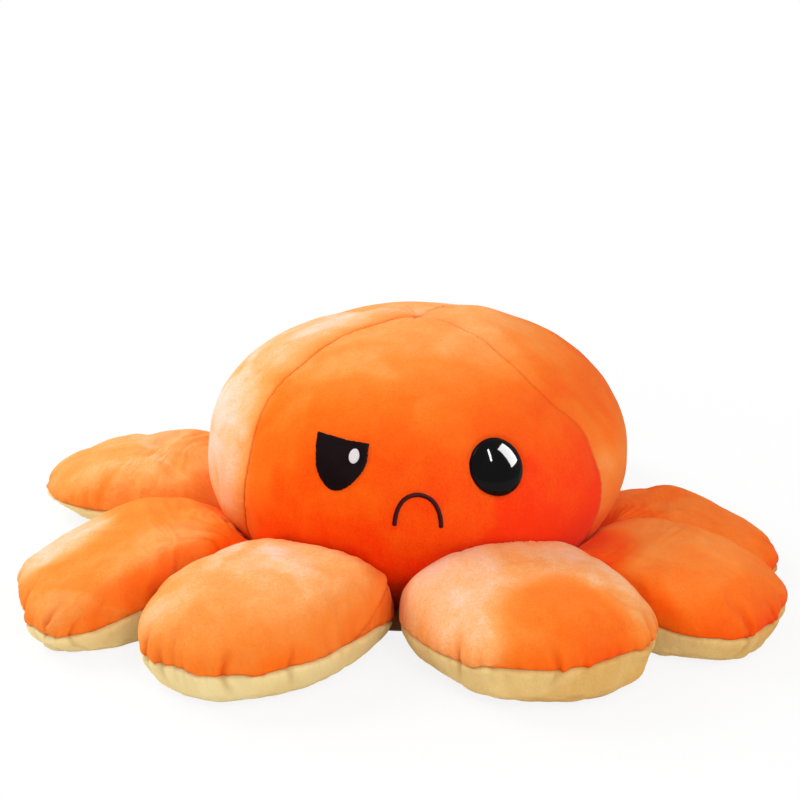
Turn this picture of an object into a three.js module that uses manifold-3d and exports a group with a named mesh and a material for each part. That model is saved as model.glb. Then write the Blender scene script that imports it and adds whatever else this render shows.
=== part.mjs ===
// Plush octopus with a stuffed head, a pocket that lets it turn inside out, and eight petal legs.
// Millimetres, +Z up, the face looks along -Y, and the toy rests on the plane z = 0.
import * as THREE from 'three'
import Module from 'manifold-3d'
import { mergeVertices } from 'three/addons/utils/BufferGeometryUtils.js'

const wasm = await Module()
wasm.setup()

// Cloth, seams and clearances
const plushThickness = 2.2
const restGap = 0.3
const seamGap = 0.3

// Head: widest a little below half height, fuller above than below
const headHalfWidth = 158
const headWidestHeight = 92
const headCrownRise = 104
const headFootRadius = 88
const headUpperPower = 2.15
const headLowerPower = 2
const crownRadius = 3

// Pocket under the head
const pocketRadius = 72
const pocketHeight = 116
const pocketPower = 2.4

// Legs: a common petal, varied leg by leg in the table below
const legSeamHeight = 22
const legRise = 47
const legReach = 300
const legHalfWidth = 78
const legSwing = 42
const neighbourGap = 3

// Stitched eye
const stitchedEyeHalfWidth = 18.5
const stitchedEyeHalfHeight = 18.5
const stitchedEyeThickness = 1.2
const stitchedEyeHeight = 129
const spotHalfWidth = 3.4
const spotHalfHeight = 5
const spotThickness = 0.8

// Gloss eye with its stem and washer
const glossEyeHalfWidth = 18.6
const glossEyeHalfHeight = 19.2
const glossEyeEdge = 1.4
const glossEyeDome = 6.2
const glossEyeHeight = 128
const stemRadius = 3
const washerRadius = 11
const washerThickness = 2
const stemEnd = 2

// Stitched mouth
const mouthHalfWidth = 15.2
const mouthRise = 22
const mouthLineRadius = 1.7
const mouthHeight = 91

// Azimuths in degrees from the face, growing towards the toy's left hand as seen from above
const faceSeamAzimuth = -52
const backSeamAzimuths = [53, 141, 225]
const stitchedEyeAzimuth = -21
const glossEyeAzimuth = 20.2
const mouthAzimuth = -0.3

// Each leg: its middle, the two sides of its sector, its share of the common reach and rise,
// and its shares of the common half width towards the side it comes from and the one it goes to
const legTable = [
  {
    name: 'l1', azimuth: -35, from: -52, to: -6,
    reachShare: 0.92, widthShares: [0.95, 1.08], riseShare: 1.02,
  },
  {
    name: 'r1', azimuth: 25, from: -6, to: 41,
    reachShare: 0.87, widthShares: [1.1, 1.08], riseShare: 1.02,
  },
  {
    name: 'l2', azimuth: -63, from: -90, to: -52,
    reachShare: 1.01, widthShares: [1.02, 1.1], riseShare: 1,
  },
  {
    name: 'r2', azimuth: 57, from: 41, to: 72,
    reachShare: 0.96, widthShares: [1, 0.92], riseShare: 0.92,
  },
  {
    name: 'l3', azimuth: -112, from: -136, to: -90,
    reachShare: 1.07, widthShares: [0.97, 0.97], riseShare: 0.98,
  },
  {
    name: 'r3', azimuth: 86, from: 72, to: 106,
    reachShare: 0.925, widthShares: [0.85, 0.85], riseShare: 0.78,
  },
  {
    name: 'r4', azimuth: 147, from: 106, to: 170,
    reachShare: 0.91, widthShares: [0.9, 0.9], riseShare: 0.94,
  },
  {
    name: 'l4', azimuth: -163, from: -190, to: -136,
    reachShare: 0.945, widthShares: [0.97, 0.97], riseShare: 0.94,
  },
]

const orangePlush = { color: 0xf47a2c, roughness: 0.95, metalness: 0 }
const yellowPlush = { color: 0xecd68c, roughness: 0.95, metalness: 0 }
const fibre = { color: 0xf1efe9, roughness: 1, metalness: 0 }
const blackThread = { color: 0x17090b, roughness: 0.8, metalness: 0 }
const whiteThread = { color: 0xe9e2e4, roughness: 0.8, metalness: 0 }
const glossBlack = { color: 0x060506, roughness: 0.08, metalness: 0 }
const hardWhite = { color: 0xe8e8e4, roughness: 0.4, metalness: 0 }

const group = new THREE.Group()
const body = new THREE.Group()
group.add(body)

function addPiece(name, geometry, look, parent = body) {
  const mesh = new THREE.Mesh(geometry, new THREE.MeshStandardMaterial(look))
  mesh.name = name
  parent.add(mesh)
  return mesh
}

const radians = THREE.MathUtils.degToRad
const quarter = Math.PI / 2

// A closed body from rings of points; the first and last entries are single points
function loft(rings) {
  const positions = []
  const index = []
  const starts = rings.map((ring) => {
    const start = positions.length / 3
    for (const point of ring) positions.push(point.x, point.y, point.z)
    return start
  })
  for (let row = 0; row + 1 < rings.length; row++) {
    const [a, b] = [starts[row], starts[row + 1]]
    const [countA, countB] = [rings[row].length, rings[row + 1].length]
    const count = Math.max(countA, countB)
    for (let i = 0; i < count; i++) {
      const j = (i + 1) % count
      if (countA > 1) index.push(a + i, a + j, b + (countB > 1 ? j : 0))
      if (countB > 1) index.push(a + (countA > 1 ? i : 0), b + j, b + i)
    }
  }
  return facingOut(positions, index)
}

// A closed body between two matching sheets, each a grid of points
function thickSheet(outer, inner) {
  const rows = outer.length
  const columns = outer[0].length
  const positions = []
  for (const sheet of [outer, inner]) {
    for (const row of sheet) for (const point of row) positions.push(point.x, point.y, point.z)
  }
  const at = (side, row, column) => (side * rows + row) * columns + column
  const index = []
  const quad = (a, b, c, d) => index.push(a, b, c, a, c, d)
  for (let i = 0; i + 1 < rows; i++) {
    for (let j = 0; j + 1 < columns; j++) {
      quad(at(0, i, j), at(0, i, j + 1), at(0, i + 1, j + 1), at(0, i + 1, j))
      quad(at(1, i, j), at(1, i + 1, j), at(1, i + 1, j + 1), at(1, i, j + 1))
    }
  }
  for (let i = 0; i + 1 < rows; i++) {
    quad(at(0, i, 0), at(0, i + 1, 0), at(1, i + 1, 0), at(1, i, 0))
    quad(at(0, i + 1, columns - 1), at(0, i, columns - 1), at(1, i, columns - 1), at(1, i + 1, columns - 1))
  }
  for (let j = 0; j + 1 < columns; j++) {
    quad(at(0, 0, j + 1), at(0, 0, j), at(1, 0, j), at(1, 0, j + 1))
    quad(at(0, rows - 1, j), at(0, rows - 1, j + 1), at(1, rows - 1, j + 1), at(1, rows - 1, j))
  }
  return facingOut(positions, index)
}

// Six times the signed volume tells which way the faces point
function facingOut(positions, index) {
  const geometry = new THREE.BufferGeometry()
  geometry.setAttribute('position', new THREE.Float32BufferAttribute(positions, 3))
  const [a, b, c] = [new THREE.Vector3(), new THREE.Vector3(), new THREE.Vector3()]
  let volume = 0
  for (let i = 0; i < index.length; i += 3) {
    a.fromArray(positions, index[i] * 3)
    b.fromArray(positions, index[i + 1] * 3)
    c.fromArray(positions, index[i + 2] * 3)
    volume += a.dot(b.cross(c))
  }
  if (volume < 0) index.reverse()
  geometry.setIndex(index)
  geometry.computeVertexNormals()
  return geometry
}

function toSolid(geometry) {
  const bare = new THREE.BufferGeometry()
  bare.setAttribute('position', geometry.getAttribute('position').clone())
  bare.setIndex(geometry.index)
  const welded = mergeVertices(bare)
  const mesh = new wasm.Mesh({
    numProp: 3,
    vertProperties: new Float32Array(welded.attributes.position.array),
    triVerts: new Uint32Array(welded.index.array),
  })
  return new wasm.Manifold(mesh)
}

function fromSolid(solid) {
  const mesh = solid.getMesh()
  const geometry = new THREE.BufferGeometry()
  geometry.setAttribute('position', new THREE.BufferAttribute(mesh.vertProperties, 3))
  geometry.setIndex(new THREE.BufferAttribute(mesh.triVerts, 1))
  geometry.computeVertexNormals()
  return geometry
}

// A round body about the vertical axis whose profile starts and ends on it or closes on itself
function turned(points, segments) {
  const lathe = new THREE.LatheGeometry(points, segments)
  lathe.rotateX(quarter)
  lathe.deleteAttribute('normal')
  lathe.deleteAttribute('uv')
  const welded = mergeVertices(lathe)
  const kept = []
  const index = welded.index.array
  for (let i = 0; i < index.length; i += 3) {
    const [a, b, c] = [index[i], index[i + 1], index[i + 2]]
    if (a !== b && b !== c && c !== a) kept.push(a, b, c)
  }
  return facingOut([...welded.attributes.position.array], kept)
}

// Head surface. An oval in the plane of the axis, with its own power above and below the widest line
const headLowerDrop =
  headWidestHeight / (1 - (headFootRadius / headHalfWidth) ** headLowerPower) ** (1 / headLowerPower)
const headHeight = headWidestHeight + headCrownRise
const headFloor = plushThickness + restGap

function headCurve(angle) {
  const upper = angle >= 0
  const power = 2 / (upper ? headUpperPower : headLowerPower)
  const radius = headHalfWidth * Math.max(Math.cos(angle), 0) ** power
  const rise = (upper ? headCrownRise : -headLowerDrop) * Math.abs(Math.sin(angle)) ** power
  return new THREE.Vector2(radius, headWidestHeight + rise)
}

// The same curve moved along its own normal
function offsetCurve(curve, angle, offset) {
  const step = quarter / 900
  const before = curve(Math.max(angle - step, -quarter))
  const after = curve(Math.min(angle + step, quarter))
  const along = after.sub(before).normalize()
  const point = curve(angle)
  point.x += along.y * offset
  point.y -= along.x * offset
  return point
}

function angleAt(test, low, high) {
  let [a, b] = [low, high]
  for (let i = 0; i < 60; i++) {
    const middle = (a + b) / 2
    if (test(middle)) b = middle
    else a = middle
  }
  return b
}

const headLayer = {
  curve: headCurve,
  rows: 12,
  low: (offset) => angleAt((angle) => offsetCurve(headCurve, angle, offset).y > headFloor, -quarter, 0),
  high: (offset) => angleAt((angle) => offsetCurve(headCurve, angle, offset).x < crownRadius, 0, quarter),
}
const headAngleAtHeight = (height) => angleAt((angle) => headCurve(angle).y > height, -quarter, quarter)

function around(azimuth, radius, height) {
  const turn = radians(azimuth)
  return new THREE.Vector3(Math.sin(turn) * radius, -Math.cos(turn) * radius, height)
}

// A domed layer is four gores between the same seams, each a strip from the foot to the crown
const seamAzimuths = [faceSeamAzimuth, ...backSeamAzimuths, faceSeamAzimuth + 360]
const goreNames = ['face', 'right', 'back', 'left']
const columnAngle = 10
const columnsOf = (number) => Math.round((seamAzimuths[number + 1] - seamAzimuths[number]) / columnAngle)

function layerRow(layer, offset, share) {
  const angle = THREE.MathUtils.lerp(layer.low(offset), layer.high(offset), share)
  return offsetCurve(layer.curve, angle, offset)
}

function goreSheet(layer, offset, number) {
  const sheet = []
  const columns = columnsOf(number)
  for (let i = 0; i <= layer.rows; i++) {
    const point = layerRow(layer, offset, i / layer.rows)
    const trim = THREE.MathUtils.radToDeg(Math.asin(seamGap / 2 / point.x))
    const from = seamAzimuths[number] + trim
    const to = seamAzimuths[number + 1] - trim
    const row = []
    for (let j = 0; j <= columns; j++) {
      row.push(around(THREE.MathUtils.lerp(from, to, j / columns), point.x, point.y))
    }
    sheet.push(row)
  }
  return sheet
}

// Rings right round the axis, on the same columns as the gores
function layerRings(layer, offset) {
  const rings = []
  for (let i = 0; i <= layer.rows; i++) {
    const point = layerRow(layer, offset, i / layer.rows)
    const ring = []
    for (let number = 0; number < goreNames.length; number++) {
      const columns = columnsOf(number)
      for (let j = 0; j < columns; j++) {
        const share = j / columns
        const azimuth = THREE.MathUtils.lerp(seamAzimuths[number], seamAzimuths[number + 1], share)
        ring.push(around(azimuth, point.x, point.y))
      }
    }
    rings.push(ring)
  }
  return rings
}

// Pocket surface, open at the bottom
function pocketCurve(angle) {
  const power = 2 / pocketPower
  const radius = pocketRadius * Math.max(Math.cos(angle), 0) ** power
  return new THREE.Vector2(radius, headFloor + pocketHeight * Math.max(Math.sin(angle), 0) ** power)
}
const pocketLayer = {
  curve: pocketCurve,
  rows: 8,
  low: () => 0,
  high: (offset) => angleAt((angle) => offsetCurve(pocketCurve, angle, offset).x < crownRadius, 0, quarter),
}

// The hinge of a leg runs along the root, where a round nose of the leg bears on the head
const noseRadius = legSeamHeight
const headProfile = []
for (let i = 0; i <= headLayer.rows; i++) headProfile.push(layerRow(headLayer, 0, i / headLayer.rows))

function headNearest(radius, height) {
  const from = new THREE.Vector3(radius, height, 0)
  const nearest = new THREE.Vector3()
  const found = new THREE.Vector3()
  let distance = Infinity
  for (let i = 0; i < headLayer.rows; i++) {
    const [a, b] = [headProfile[i], headProfile[i + 1]]
    const edge = new THREE.Line3(new THREE.Vector3(a.x, a.y, 0), new THREE.Vector3(b.x, b.y, 0))
    edge.closestPointToPoint(from, true, found)
    if (found.distanceTo(from) < distance) {
      distance = found.distanceTo(from)
      nearest.copy(found)
    }
  }
  return { distance, point: nearest }
}

const hingeRadius = angleAt(
  (radius) => headNearest(radius, legSeamHeight).distance > noseRadius + restGap,
  headFootRadius,
  headHalfWidth + noseRadius * 2,
)
const seat = headNearest(hingeRadius, legSeamHeight).point
const seatOut = ((seat.x - hingeRadius) * noseRadius) / (noseRadius + restGap)

// Filling of the head, between the outer layer and the pocket
const fillingInset = plushThickness + restGap
function headFilling() {
  const outer = layerRings(headLayer, -fillingInset).reverse()
  const inner = layerRings(pocketLayer, fillingInset)
  const crown = new THREE.Vector3(0, 0, headHeight - fillingInset)
  const vault = new THREE.Vector3(0, 0, headFloor + pocketHeight + fillingInset)
  return loft([[crown], ...outer, ...inner, [vault]])
}

// Frame on the head surface: x across to the right, y up along the surface, z out of it
function faceFrame(azimuth, height) {
  const angle = headAngleAtHeight(height)
  const on = headCurve(angle)
  const out = offsetCurve(headCurve, angle, headHalfWidth).sub(on).normalize()
  const normal = around(azimuth, out.x, out.y)
  const across = new THREE.Vector3(Math.cos(radians(azimuth)), Math.sin(radians(azimuth)), 0)
  const up = normal.clone().cross(across)
  const matrix = new THREE.Matrix4().makeBasis(across, up, normal)
  return matrix.setPosition(around(azimuth, on.x, on.y))
}

// A point of the surface, a distance across and up from a place on the face, raised off it
function onFace(azimuth, height, across, up, raise) {
  const start = headAngleAtHeight(height)
  const step = quarter / 200
  const from = headCurve(start - step)
  const slope = headCurve(start + step).sub(from).length() / (2 * step)
  const angle = start + up / slope
  const here = headCurve(angle)
  const point = offsetCurve(headCurve, angle, raise)
  return around(azimuth + THREE.MathUtils.radToDeg(across / here.x), point.x, point.y)
}

// A raised pad on the face: outline given by angle, domed by the share of the way in
const eyeSides = 20
const spotSides = 12
const domedShares = [0.92, 0.7, 0.4]
const flatShares = [0.6]
function facePad(azimuth, height, outline, sides, base, edge, dome) {
  const padRingShares = dome > edge ? domedShares : flatShares
  const ring = (share, raise) => {
    const points = []
    for (let i = 0; i < sides; i++) {
      const { x, y } = outline((2 * Math.PI * i) / sides)
      points.push(onFace(azimuth, height, x * share, y * share, raise))
    }
    return points
  }
  const domeAt = (share) => base + edge + (dome - edge) * Math.sqrt(1 - share * share)
  const top = [...padRingShares].reverse()
  return loft([
    [onFace(azimuth, height, 0, 0, base + dome)],
    ...top.map((share) => ring(share, domeAt(share))),
    ring(1, base + edge),
    ring(1, base),
    ...padRingShares.map((share) => ring(share, base)),
    [onFace(azimuth, height, 0, 0, base)],
  ])
}

// Half an oval hung from a slanted brow
const browSlopeShare = 0.09
const browPower = 2.3
const browHeightShare = 0.9
const spotAcrossShare = 0.5
const spotUpShare = 0.25
function stitchedEyeOutline(angle) {
  const x = Math.sign(Math.cos(angle)) * Math.abs(Math.cos(angle)) ** (2 / browPower)
  const y = Math.sin(angle)
  const brow = (browHeightShare - browSlopeShare * x) * stitchedEyeHalfHeight
  const low = -(Math.abs(y) ** (2 / browPower)) * stitchedEyeHalfHeight
  return { x: x * stitchedEyeHalfWidth, y: y > 0 ? Math.min(brow, y * 2 * stitchedEyeHalfHeight) : low }
}

// A slightly tilted egg
const eggTilt = radians(20)
const eggShare = 0.05
function glossEyeOutline(angle) {
  const across = Math.cos(angle - eggTilt) * glossEyeHalfWidth
  const up = Math.sin(angle - eggTilt) * glossEyeHalfHeight * (1 + eggShare * Math.cos(angle))
  return {
    x: across * Math.cos(eggTilt) - up * Math.sin(eggTilt),
    y: across * Math.sin(eggTilt) + up * Math.cos(eggTilt),
  }
}

const spotOutline = (angle) => ({
  x: Math.cos(angle) * spotHalfWidth,
  y: Math.sin(angle) * spotHalfHeight,
})

// A round bar along the outward normal of the face, between two depths
const barSides = 20
function faceBar(frame, radius, low, high, boreRadius = 0) {
  const profile = [
    new THREE.Vector2(boreRadius, low),
    new THREE.Vector2(radius, low),
    new THREE.Vector2(radius, high),
    new THREE.Vector2(boreRadius, high),
  ]
  if (boreRadius > 0) profile.push(profile[0].clone())
  return turned(profile, barSides).applyMatrix4(frame)
}

function addHead() {
  const eyeFrame = faceFrame(glossEyeAzimuth, glossEyeHeight)
  // The washer is flat and the panel curves and has facets, so it sits deeper by what they dip
  const sag = washerRadius ** 2 / headCrownRise + headHalfWidth * (1 - Math.cos(radians(columnAngle / 2)))
  const washerTop = -plushThickness - restGap - sag
  const washerLow = washerTop - washerThickness
  const stemLow = washerLow - stemEnd

  for (let number = 0; number < goreNames.length; number++) {
    const sheets = [0, -plushThickness].map((offset) => goreSheet(headLayer, offset, number))
    let panel = thickSheet(...sheets)
    if (number === 0) {
      const hole = faceBar(eyeFrame, stemRadius + restGap, stemLow, glossEyeDome)
      panel = fromSolid(toSolid(panel).subtract(toSolid(hole)))
    }
    addPiece(`head_${goreNames[number]}_panel`, panel, orangePlush)
  }

  const recess = faceBar(eyeFrame, washerRadius + restGap, stemLow - restGap, glossEyeDome)
  addPiece('head_filling', fromSolid(toSolid(headFilling()).subtract(toSolid(recess))), fibre)

  const dome = facePad(
    glossEyeAzimuth, glossEyeHeight, glossEyeOutline, eyeSides, restGap, glossEyeEdge, glossEyeDome,
  )
  const stem = faceBar(eyeFrame, stemRadius, stemLow, glossEyeEdge)
  addPiece('right_eye', fromSolid(toSolid(dome).add(toSolid(stem))), glossBlack)
  const washer = faceBar(eyeFrame, washerRadius, washerLow, washerTop, stemRadius + restGap)
  addPiece('right_eye_washer', washer, hardWhite)
}

const archPower = 0.8
function addStitchedFace() {
  addPiece('left_eye_patch', facePad(
    stitchedEyeAzimuth, stitchedEyeHeight, stitchedEyeOutline, eyeSides,
    restGap, stitchedEyeThickness, stitchedEyeThickness,
  ), blackThread)
  const spotAcross = stitchedEyeHalfWidth * spotAcrossShare
  const spotUp = stitchedEyeHalfHeight * spotUpShare
  const spotBase = restGap + stitchedEyeThickness + restGap
  const spotAzimuth = stitchedEyeAzimuth + THREE.MathUtils.radToDeg(spotAcross / headHalfWidth)
  addPiece('left_eye_highlight', facePad(
    spotAzimuth, stitchedEyeHeight + spotUp, spotOutline, spotSides, spotBase, spotThickness, spotThickness,
  ), whiteThread)

  // Arched line with short straight legs, round in section
  const steps = 14
  const sides = 6
  const nearShare = 0.001
  const rings = []
  const centre = (share) => {
    const turn = Math.PI * (1 - share)
    return { x: Math.cos(turn) * mouthHalfWidth, y: Math.sin(turn) ** archPower * mouthRise }
  }
  for (let i = 0; i <= steps; i++) {
    const share = i / steps
    const here = centre(share)
    const ahead = centre(Math.min(share + nearShare, 1))
    const behind = centre(Math.max(share - nearShare, 0))
    const length = Math.hypot(ahead.x - behind.x, ahead.y - behind.y)
    const side = { x: (ahead.y - behind.y) / length, y: -(ahead.x - behind.x) / length }
    const ring = []
    for (let j = 0; j < sides; j++) {
      const turn = (2 * Math.PI * j) / sides
      const across = here.x + side.x * Math.cos(turn) * mouthLineRadius
      const up = here.y + side.y * Math.cos(turn) * mouthLineRadius
      const raise = restGap + mouthLineRadius * (1 + Math.sin(turn))
      ring.push(onFace(mouthAzimuth, mouthHeight, across, up, raise))
    }
    const middle = onFace(mouthAzimuth, mouthHeight, here.x, here.y, restGap + mouthLineRadius)
    if (i === 0) rings.push([middle])
    rings.push(ring)
    if (i === steps) rings.push([middle])
  }
  addPiece('mouth_embroidery', loft(rings), blackThread)
}

const ringSegments = 36
function addPocket() {
  for (let number = 0; number < goreNames.length; number++) {
    const sheets = [plushThickness, 0].map((offset) => goreSheet(pocketLayer, offset, number))
    addPiece(`pocket_${goreNames[number]}_panel`, thickSheet(...sheets), yellowPlush)
  }
  const ringOuter = hingeRadius - noseRadius
  const profile = [
    new THREE.Vector2(pocketRadius, 0),
    new THREE.Vector2(ringOuter, 0),
    new THREE.Vector2(ringOuter, plushThickness),
    new THREE.Vector2(pocketRadius, plushThickness),
    new THREE.Vector2(pocketRadius, 0),
  ]
  addPiece('underside_ring', turned(profile, ringSegments), yellowPlush)
}

// A value that stays under both of two limits, rounded where they meet
const limitPower = 8
const softLimit = (a, b) => (a ** -limitPower + b ** -limitPower) ** (-1 / limitPower)

// Half width, rise above the seam and depth below it, at a distance out from the hinge
const rootWidthShare = 0.9
const shoulderShare = 0.36
const shoulderPower = 0.8
const tipPower = 2.6
function legWidth(leg, out, side, inset) {
  const length = leg.length - inset
  const nose = noseRadius - inset
  const share = THREE.MathUtils.clamp((out + nose) / (length + nose), 0, 1)
  const grow = rootWidthShare + (1 - rootWidthShare) * Math.min(share / shoulderShare, 1) ** shoulderPower
  const past = Math.max((share - shoulderShare) / (1 - shoulderShare), 0)
  const full = leg.halfWidths[side > 0 ? 1 : 0] * grow * (1 - past ** tipPower) ** (1 / tipPower)
  const sector = Math.tan(radians(side > 0 ? leg.to - leg.azimuth : leg.azimuth - leg.from))
  const room = (hingeRadius + Math.min(out, out * Math.cos(radians(legSwing)))) * sector - neighbourGap / 2
  return full > 0 ? Math.max(softLimit(full, room) - inset, 0) : 0
}

const ridgeShare = 0.38
const swellPower = 2.2
const fallPower = 2.3
const tipRoundPower = 1.8
const depthPower = 4
const depthRoundPower = 2.2
function legRiseAt(leg, out, inset) {
  const length = leg.length - inset
  const nose = noseRadius - inset
  if (out <= 0) return Math.sqrt(Math.max(nose ** 2 - out ** 2, 0))
  const ridge = ridgeShare * length
  const top = leg.rise - inset
  if (out < ridge) return nose + (top - nose) * Math.sin((quarter * out) / ridge) ** swellPower
  return top * (1 - ((out - ridge) / (length - ridge)) ** fallPower) ** (1 / tipRoundPower)
}

function legDepthAt(leg, out, inset) {
  const nose = noseRadius - inset
  if (out <= 0) return Math.sqrt(Math.max(nose ** 2 - out ** 2, 0))
  return nose * (1 - (out / (leg.length - inset)) ** depthPower) ** (1 / depthRoundPower)
}

// Rings of one face of the leg, from the seam to the middle; side is 1 above and -1 below
const outlineSteps = 9
const innerRingShares = [0.8, 0.45]
const noseShares = [-0.5, 0, 0.5]
const topPower = 2.2
const bottomPower = 2.8
function legRings(leg, side, inset, lift) {
  const [low, high] = [inset - noseRadius, leg.length - inset]
  const middle = (low + high) / 2
  const noseWidth = { right: legWidth(leg, low, 1, inset), left: legWidth(leg, low, -1, inset) }
  const outline = noseShares.map((share) =>
    ({ out: low, across: share * (share > 0 ? noseWidth.right : noseWidth.left) }))
  for (let i = 0; i <= outlineSteps; i++) {
    const out = THREE.MathUtils.lerp(low, high, (1 - Math.cos((Math.PI * i) / outlineSteps)) / 2)
    outline.push({ out, across: i === outlineSteps ? 0 : legWidth(leg, out, 1, inset) })
  }
  for (let i = outlineSteps - 1; i >= 0; i--) {
    const out = outline[i + noseShares.length].out
    outline.push({ out, across: -legWidth(leg, out, -1, inset) })
  }
  const power = side > 0 ? topPower : bottomPower
  const heightAt = side > 0 ? legRiseAt : legDepthAt
  const place = (point, share) => {
    const out = THREE.MathUtils.lerp(middle, point.out, share)
    const across = point.across * share
    const half = legWidth(leg, out, across >= 0 ? 1 : -1, inset)
    const spread = half > 0 ? Math.min(Math.abs(across) / half, 1) : 1
    const height = share === 1 ? 0 : heightAt(leg, out, inset) * (1 - spread ** power) ** (1 / power)
    return new THREE.Vector3(out, across, lift + side * height)
  }
  // One ring passes through the line where the nose bears on the head
  const seatShare = (middle - seatOut) / (middle + noseRadius)
  const ringShares = [1, seatShare, ...innerRingShares]
  const rings = ringShares.map((share) => outline.map((point) => place(point, share)))
  return [...rings, [place({ out: middle, across: 0 }, 0)]]
}

function addLeg(entry) {
  const leg = {
    ...entry,
    length: legReach * entry.reachShare - hingeRadius,
    halfWidths: entry.widthShares.map((share) => legHalfWidth * share),
    rise: legRise * entry.riseShare,
  }
  const root = new THREE.Group()
  root.rotation.z = radians(leg.azimuth) - quarter
  body.add(root)
  const hinge = new THREE.Group()
  hinge.position.set(hingeRadius, 0, legSeamHeight)
  root.add(hinge)

  const shell = (side) => {
    const lift = (side * seamGap) / 2
    const outer = legRings(leg, side, 0, 0).map((ring, row) =>
      row === 0 ? ring.map((point) => new THREE.Vector3(point.x, point.y, lift)) : ring)
    const inner = legRings(leg, side, plushThickness, lift)
    // Run the rings the same way as those of the filling, so that the facets lie side by side
    return side > 0 ? loft([...inner.reverse(), ...outer]) : loft([...outer.reverse(), ...inner])
  }
  addPiece(`leg_${leg.name}_top_panel`, shell(1), orangePlush, hinge)
  addPiece(`leg_${leg.name}_bottom_panel`, shell(-1), yellowPlush, hinge)
  const stuffed = fillingInset + restGap
  const above = legRings(leg, 1, stuffed, 0)
  const below = legRings(leg, -1, stuffed, 0)
  addPiece(`leg_${leg.name}_filling`, loft([...above.reverse(), ...below.slice(1)]), fibre, hinge)
}

addHead()
addStitchedFace()
addPocket()
for (const entry of legTable) addLeg(entry)

// The origin is the middle of the toy's own box, on the floor
group.updateMatrixWorld(true)
const box = new THREE.Box3().setFromObject(group, true)
body.position.x -= (box.min.x + box.max.x) / 2
body.position.y -= (box.min.y + box.max.y) / 2
body.position.z -= box.min.z

export default group
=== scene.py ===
import math
from collections import namedtuple
import bpy
import numpy as np
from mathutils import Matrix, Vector


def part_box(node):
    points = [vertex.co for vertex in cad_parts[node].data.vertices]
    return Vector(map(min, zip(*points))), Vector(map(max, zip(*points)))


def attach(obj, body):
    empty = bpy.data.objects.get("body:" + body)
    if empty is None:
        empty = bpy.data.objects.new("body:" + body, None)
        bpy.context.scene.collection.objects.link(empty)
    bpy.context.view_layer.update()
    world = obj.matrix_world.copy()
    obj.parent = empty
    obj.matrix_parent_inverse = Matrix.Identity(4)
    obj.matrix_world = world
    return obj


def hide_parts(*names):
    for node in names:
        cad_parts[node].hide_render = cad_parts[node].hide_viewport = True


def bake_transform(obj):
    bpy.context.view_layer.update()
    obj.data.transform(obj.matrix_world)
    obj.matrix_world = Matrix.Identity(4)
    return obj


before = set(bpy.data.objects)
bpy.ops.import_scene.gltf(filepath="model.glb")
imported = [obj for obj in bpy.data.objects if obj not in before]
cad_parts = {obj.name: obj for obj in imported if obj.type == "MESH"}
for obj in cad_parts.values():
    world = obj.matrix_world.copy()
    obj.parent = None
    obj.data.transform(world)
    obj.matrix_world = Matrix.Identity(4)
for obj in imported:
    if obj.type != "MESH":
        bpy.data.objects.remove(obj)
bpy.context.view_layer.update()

# Head cover. Four slices of short-pile orange plush, sewn edge to edge from the foot ring to
# the crown and pulled round by the stuffing, so that each seam lies in a shallow trench with
# small puckers along it. The slices meet in a gathered point at the crown.
mm = 0.001
ring_low, ring_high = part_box("underside_ring")
head_axis = np.array([(ring_low.x + ring_high.x) / 2, (ring_low.y + ring_high.y) / 2, 0.0])
head_half_width = 158 * mm
head_widest_height = 92 * mm
head_crown_rise = 104 * mm
head_lower_drop = 110.77 * mm
head_upper_power = 2.15
head_foot_height = 2.5 * mm
seam_trench_depth = 1.3 * mm
seam_trench_width = 3.2 * mm
seam_pull_depth = 0.8 * mm
seam_pull_width = 14 * mm
seam_pucker_height = 1.0 * mm
seam_pucker_reach = 11 * mm
seam_pucker_length = 9 * mm
seam_shade_width = 1.1 * mm
head_lump_height = 1.5 * mm
head_lump_length = 95 * mm
head_fine_lump_share = 0.35
crown_fold_height = 1.5 * mm
crown_fold_reach = 16 * mm
crown_dimple_depth = 2 * mm
crown_dimple_reach = 9 * mm
crown_point_reach = 3 * mm
crown_fade_radius = 30 * mm
head_floor_gap = 0.4 * mm
head_rows = 190
head_columns = {"face": 120, "right": 84, "back": 84, "left": 84}

# Where the seams run: millimetres above the table, and the azimuth from the face at each
seam_lines = {
    "left": (
        [2, 70, 95, 116, 139, 151, 164, 179, 190, 196],
        [-54, -53.2, -50.2, -49.5, -51.3, -52.5, -53.3, -54, -57, -60],
    ),
    "right": (
        [2, 67, 103, 120, 143, 156, 167, 178, 187, 196],
        [57, 55.6, 55.4, 54.6, 50.2, 45.5, 43.5, 44, 46, 48],
    ),
    "back right": ([2, 88, 132, 167, 196], [140, 142, 141, 139, 141]),
    "back left": ([2, 88, 132, 167, 196], [224, 223.5, 226, 226, 223]),
}
# Shallow pits in the head, and swells where the depth is negative: azimuth, height, depth,
# and reach sideways and upwards
head_pits = [
    (56, 117, 3.6, 13, 16),
    (58, 90, 2.0, 10, 16),
    (-8, 180, 1.2, 30, 14),
    (-75, 178, -2.2, 14, 10),
    (-98, 194.6, -2.6, 10, 10),
    (34, 182, 1.8, 14, 12),
    (-38, 176, 1.5, 16, 12),
    (-50, 74, 2.0, 20, 14),
    (10, 70, 1.8, 46, 10),
    (140, 110, 2.4, 16, 18),
    (226, 120, 2.2, 16, 18),
    (182, 150, 1.8, 34, 18),
    (118, 191, -5.0, 32, 26),
    (-118, 190, 3.4, 30, 20),
]


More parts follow.
